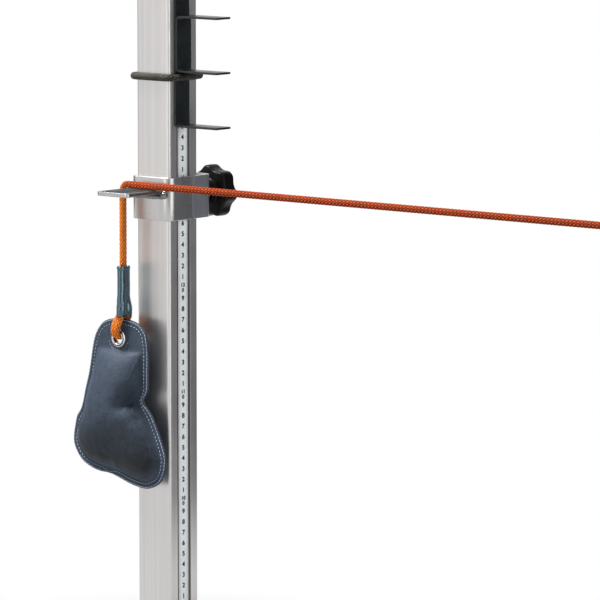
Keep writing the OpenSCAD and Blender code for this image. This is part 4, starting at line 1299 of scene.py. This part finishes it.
def starRadius(s):
    far = s["radius"] + s["valleyRound"] - s["valley"]
    angles = np.arange(s["around"]) / s["around"] * 2 * math.pi
    r = np.full(s["around"], s["radius"])
    for i in range(s["lobes"]):
        off = (angles - (i + 0.5) * 2 * math.pi / s["lobes"] + math.pi) % (2 * math.pi) - math.pi
        root = s["valleyRound"] ** 2 - (far * np.sin(off)) ** 2
        hit = (root > 0) & (np.cos(off) > 0)
        r = np.where(hit, np.minimum(r, far * np.cos(off) - np.sqrt(np.maximum(root, 0))), r)
    kernel, half = np.hanning(s["soften"]), s["soften"] // 2
    return angles, np.convolve(np.concatenate([r[-half:], r, r[:half]]), kernel / kernel.sum(), "valid")


def makeKnob(s):
    angles, star = starRadius(s)
    turn = angles + math.radians(s["phase"])
    face, back, bow = s["star"], s["back"], s["rounding"]
    bends = np.radians(np.linspace(0, 90, 8))
    corner = [(bow * (1 - math.cos(a)), star - bow * (1 - math.sin(a))) for a in bends]
    rows = [(s["front"] + y, s["hub"] + r) for y, r in s["hubEdge"]]
    rows += [(face + y, s["hub"] + r) for y, r in s["hubFoot"]]
    rows += [(face - 0.0001 * t, star - (0.0034 + (1 - t) * 0.006)) for t in (0.35, 0.65, 0.85)]
    rows += [(face + y, r) for y, r in corner] + [((face + back) / 2, star + 0.0002)]
    rows += [(back - y, r) for y, r in reversed(corner)] + [(back - dip, r) for r, dip in s["dish"]]
    rings = [
        np.stack([r * np.cos(turn), np.full(s["around"], y), screwHeight - r * np.sin(turn)], 1)
        for y, r in rows]
    tips = [(0, s["front"], screwHeight), (0, back - s["dish"][-1][1], screwHeight)]
    return shellPiece("starKnob", rings, tips)


starKnob = makeKnob(knob)
sharpenByAngle(starKnob, 50)
finishPiece(starKnob, "knob", plastics["knob"])
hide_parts("knob_star")

screw = {
    "pitch": 0.0015, "radius": 0.005, "depth": 0.0009, "plain": 0.0032, "from": 0.0244, "to": 0.0662,
    "steps": 260,
    "sides": 40,
    "collar": [
        (0.003, 0.0), (0.0063, 0.0), (0.0066, 0.0003), (0.0066, 0.0022), (0.0063, 0.0025), (0.003, 0.0025)],
}


def makeScrew(s):
    # the clamp screw with its rolled thread, and the collar on its tip
    def relief(u, v):
        t = (v / s["pitch"] - u) % 1.0
        return -s["depth"] * np.clip(np.abs(t - 0.5) * 2.4 - 0.25, 0, 1) * (v > s["plain"])

    n = s["steps"]
    line = np.stack([np.zeros(n), np.linspace(s["from"], s["to"], n), np.full(n, screwHeight)], 1)
    thread = tubePiece("clampScrew", line, s["radius"], s["sides"], (1, 0, 0), relief)
    collar = turnedPiece("screwCollar", s["collar"], (0, s["from"], screwHeight), 64)
    return joinPieces("clampScrewSolid", [thread, collar])


clampScrew = makeScrew(screw)
sharpenByAngle(clampScrew, 40)
finishPiece(clampScrew, "knob", metals["screw"])
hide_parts("clamp_screw")
print("knob and screw made")

# Bars, plates and the upright: node, name, width of the broken edge and its segments, body, slot, material
plainCopies = [
    ("mast_profile", "uprightProfile", 0.00018, 1, "upright", "upright_aluminium", metals["upright"]),
    ("mast_top_cap", "uprightCap", 0.0006, 3, "upright", "cap_plastic", plastics["cap"]),
    ("cap_screws", "capScrews", 0.0002, 2, "upright", "screw_steel", metals["screw"]),
    ("clamp_front_plate", "clampFront", 0.0006, 3, "clamp", "clamp_metal", metals["clampFront"]),
    ("clamp_rear_plate", "clampRear", 0.0006, 3, "clamp", "clamp_metal_rear", metals["clampRear"]),
    ("clamp_boss", "clampBoss", 0.0006, 3, "clamp", "clamp_metal_rear", metals["clampRear"]),
    ("rest_plate", "restPlate", 0.0007, 3, "clamp", "rest_metal", metals["rest"]),
    ("pressure_pad", "pressurePad", 0.0005, 2, "pad", "pad_plastic", plastics["pad"]),
    ("pad_retainer", "padRetainer", 0.0002, 2, "pad", "screw_steel", metals["screw"]),
    ("rack_long_bracket", "rackLong", 0.00035, 2, "rack", "rack_paint", plastics["rack"]),
    ("rack_short_bracket", "rackShort", 0.00035, 2, "rack", "rack_paint", plastics["rack"]),
    ("elastic_ferrule", "elasticFerrule", 0.0002, 2, "rack", "ferrule_metal", metals["ferrule"]),
]
for node, name, width, segments, body, slot, material in plainCopies:
    finishPiece(softenedCopy(node, name, width, segments), body, material)
print("plates and bars made:", len(plainCopies))

# solids that are shown as they are
keptNodes = {
    "scale_tape": plastics["tape"], "clamp_seam_welds": metals["clampFront"],
    "retainer_screws": metals["screw"],
    "knob_insert": metals["brass"],
}
for node, material in keptNodes.items():
    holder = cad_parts[node]
    if not holder.data.materials:
        holder.data.materials.append(material)
    for slot in holder.material_slots:
        slot.material = material

# Stage and light
stage = {
    "floorLow": -0.0004, "floorSize": 60, "floor": 0.5, "near": 0.06, "far": 0.23, "ambient": 0.12,
    "key": 200.0, "keyPlace": (-1.15, -1.0, 3.1), "fill": 20.0, "fillPlace": (1.9, 1.0, 1.0),
    "aim": (0, 0, 0.35),
}
# cards that only show in reflections: azimuth to the right, distance, width, height, strength, tint
cards = {
    "brightFront": (-6, 2.2, 0.5, 1.1, 3.0, 1), "brightRight": (82, 1.6, 0.6, 1.1, 2.8, 1),
    "dimFront": (43, 2.2, 1.0, 1.1, 0.2, 1), "greyBack": (143, 0.62, 1.25, 1.3, 0.11, (0.93, 0.96, 1.1)),
    "darkLeft": (-95, 2.5, 2.4, 1.6, 0.12, 1),
}


def whiteRays(tree):
    kinds = ("Camera", "Glossy", "Transmission")
    camera, glossy, through = (put(tree, "ShaderNodeLightPath", out=f"Is {kind} Ray") for kind in kinds)
    return put(tree, "ShaderNodeClamp", {0: camera + glossy + through})


def stagePlane(name, size, place):
    bpy.ops.mesh.primitive_plane_add(size=size, location=place)
    plane = bpy.context.active_object
    plane.name = name
    material = bpy.data.materials.new(name)
    plane.data.materials.append(material)
    return plane, *bareTree(material)


def makeFloor(s):
    floor, tree, out = stagePlane("floor", s["floorSize"], (0, 0, s["floorLow"]))
    off = vectorCalc("LENGTH", objectPlace(tree), out=1)
    share = remap(off, s["near"], s["far"], interpolation_type="SMOOTHSTEP")
    matt = put(tree, "ShaderNodeBsdfDiffuse", {0: colour(s["floor"])})
    bright = put(tree, "ShaderNodeEmission", {0: colour(1), 1: 1.0})
    feed(out, {0: put(tree, "ShaderNodeMixShader", {0: share * whiteRays(tree), 1: matt, 2: bright})})


def makeCard(name, azimuth, distance, width, height, strength, tint):
    a = math.radians(azimuth)
    place = Vector((distance * math.sin(a), -distance * math.cos(a), height / 2))
    card, tree, out = stagePlane(name, 1, place)
    card.scale = (width, height, 1)
    aimObject(card, place, Vector((-place.x, -place.y, 0)), "Z")
    feed(out, {0: put(tree, "ShaderNodeEmission", {0: colour(tint), 1: strength})})
    card.visible_camera = card.visible_diffuse = card.visible_shadow = card.visible_transmission = False


def makeLamp(name, place, power, size=1.0, glossy=True):
    data = bpy.data.lights.new(name, "AREA")
    data.shape, data.size, data.energy = "SQUARE", size, power
    lamp = newObject(name, data)
    aimObject(lamp, place, Vector(stage["aim"]) - Vector(place))
    lamp.visible_glossy = glossy


def makeWorld(s):
    world = bpy.data.worlds.new("studio")
    bpy.context.scene.world = world
    tree, out = bareTree(world, "ShaderNodeOutputWorld")
    soft, white = (put(tree, "ShaderNodeBackground", {0: colour(1), 1: v}) for v in (s["ambient"], 1.0))
    feed(out, {0: put(tree, "ShaderNodeMixShader", {0: whiteRays(tree), 1: soft, 2: white})})


makeFloor(stage)
for name, card in cards.items():
    makeCard(name, *card)
makeLamp("keyLamp", stage["keyPlace"], stage["key"])
makeLamp("fillLamp", stage["fillPlace"], stage["fill"], glossy=False)
makeWorld(stage)
bpy.context.scene.view_settings.view_transform = "Standard"
print("stage and light set")
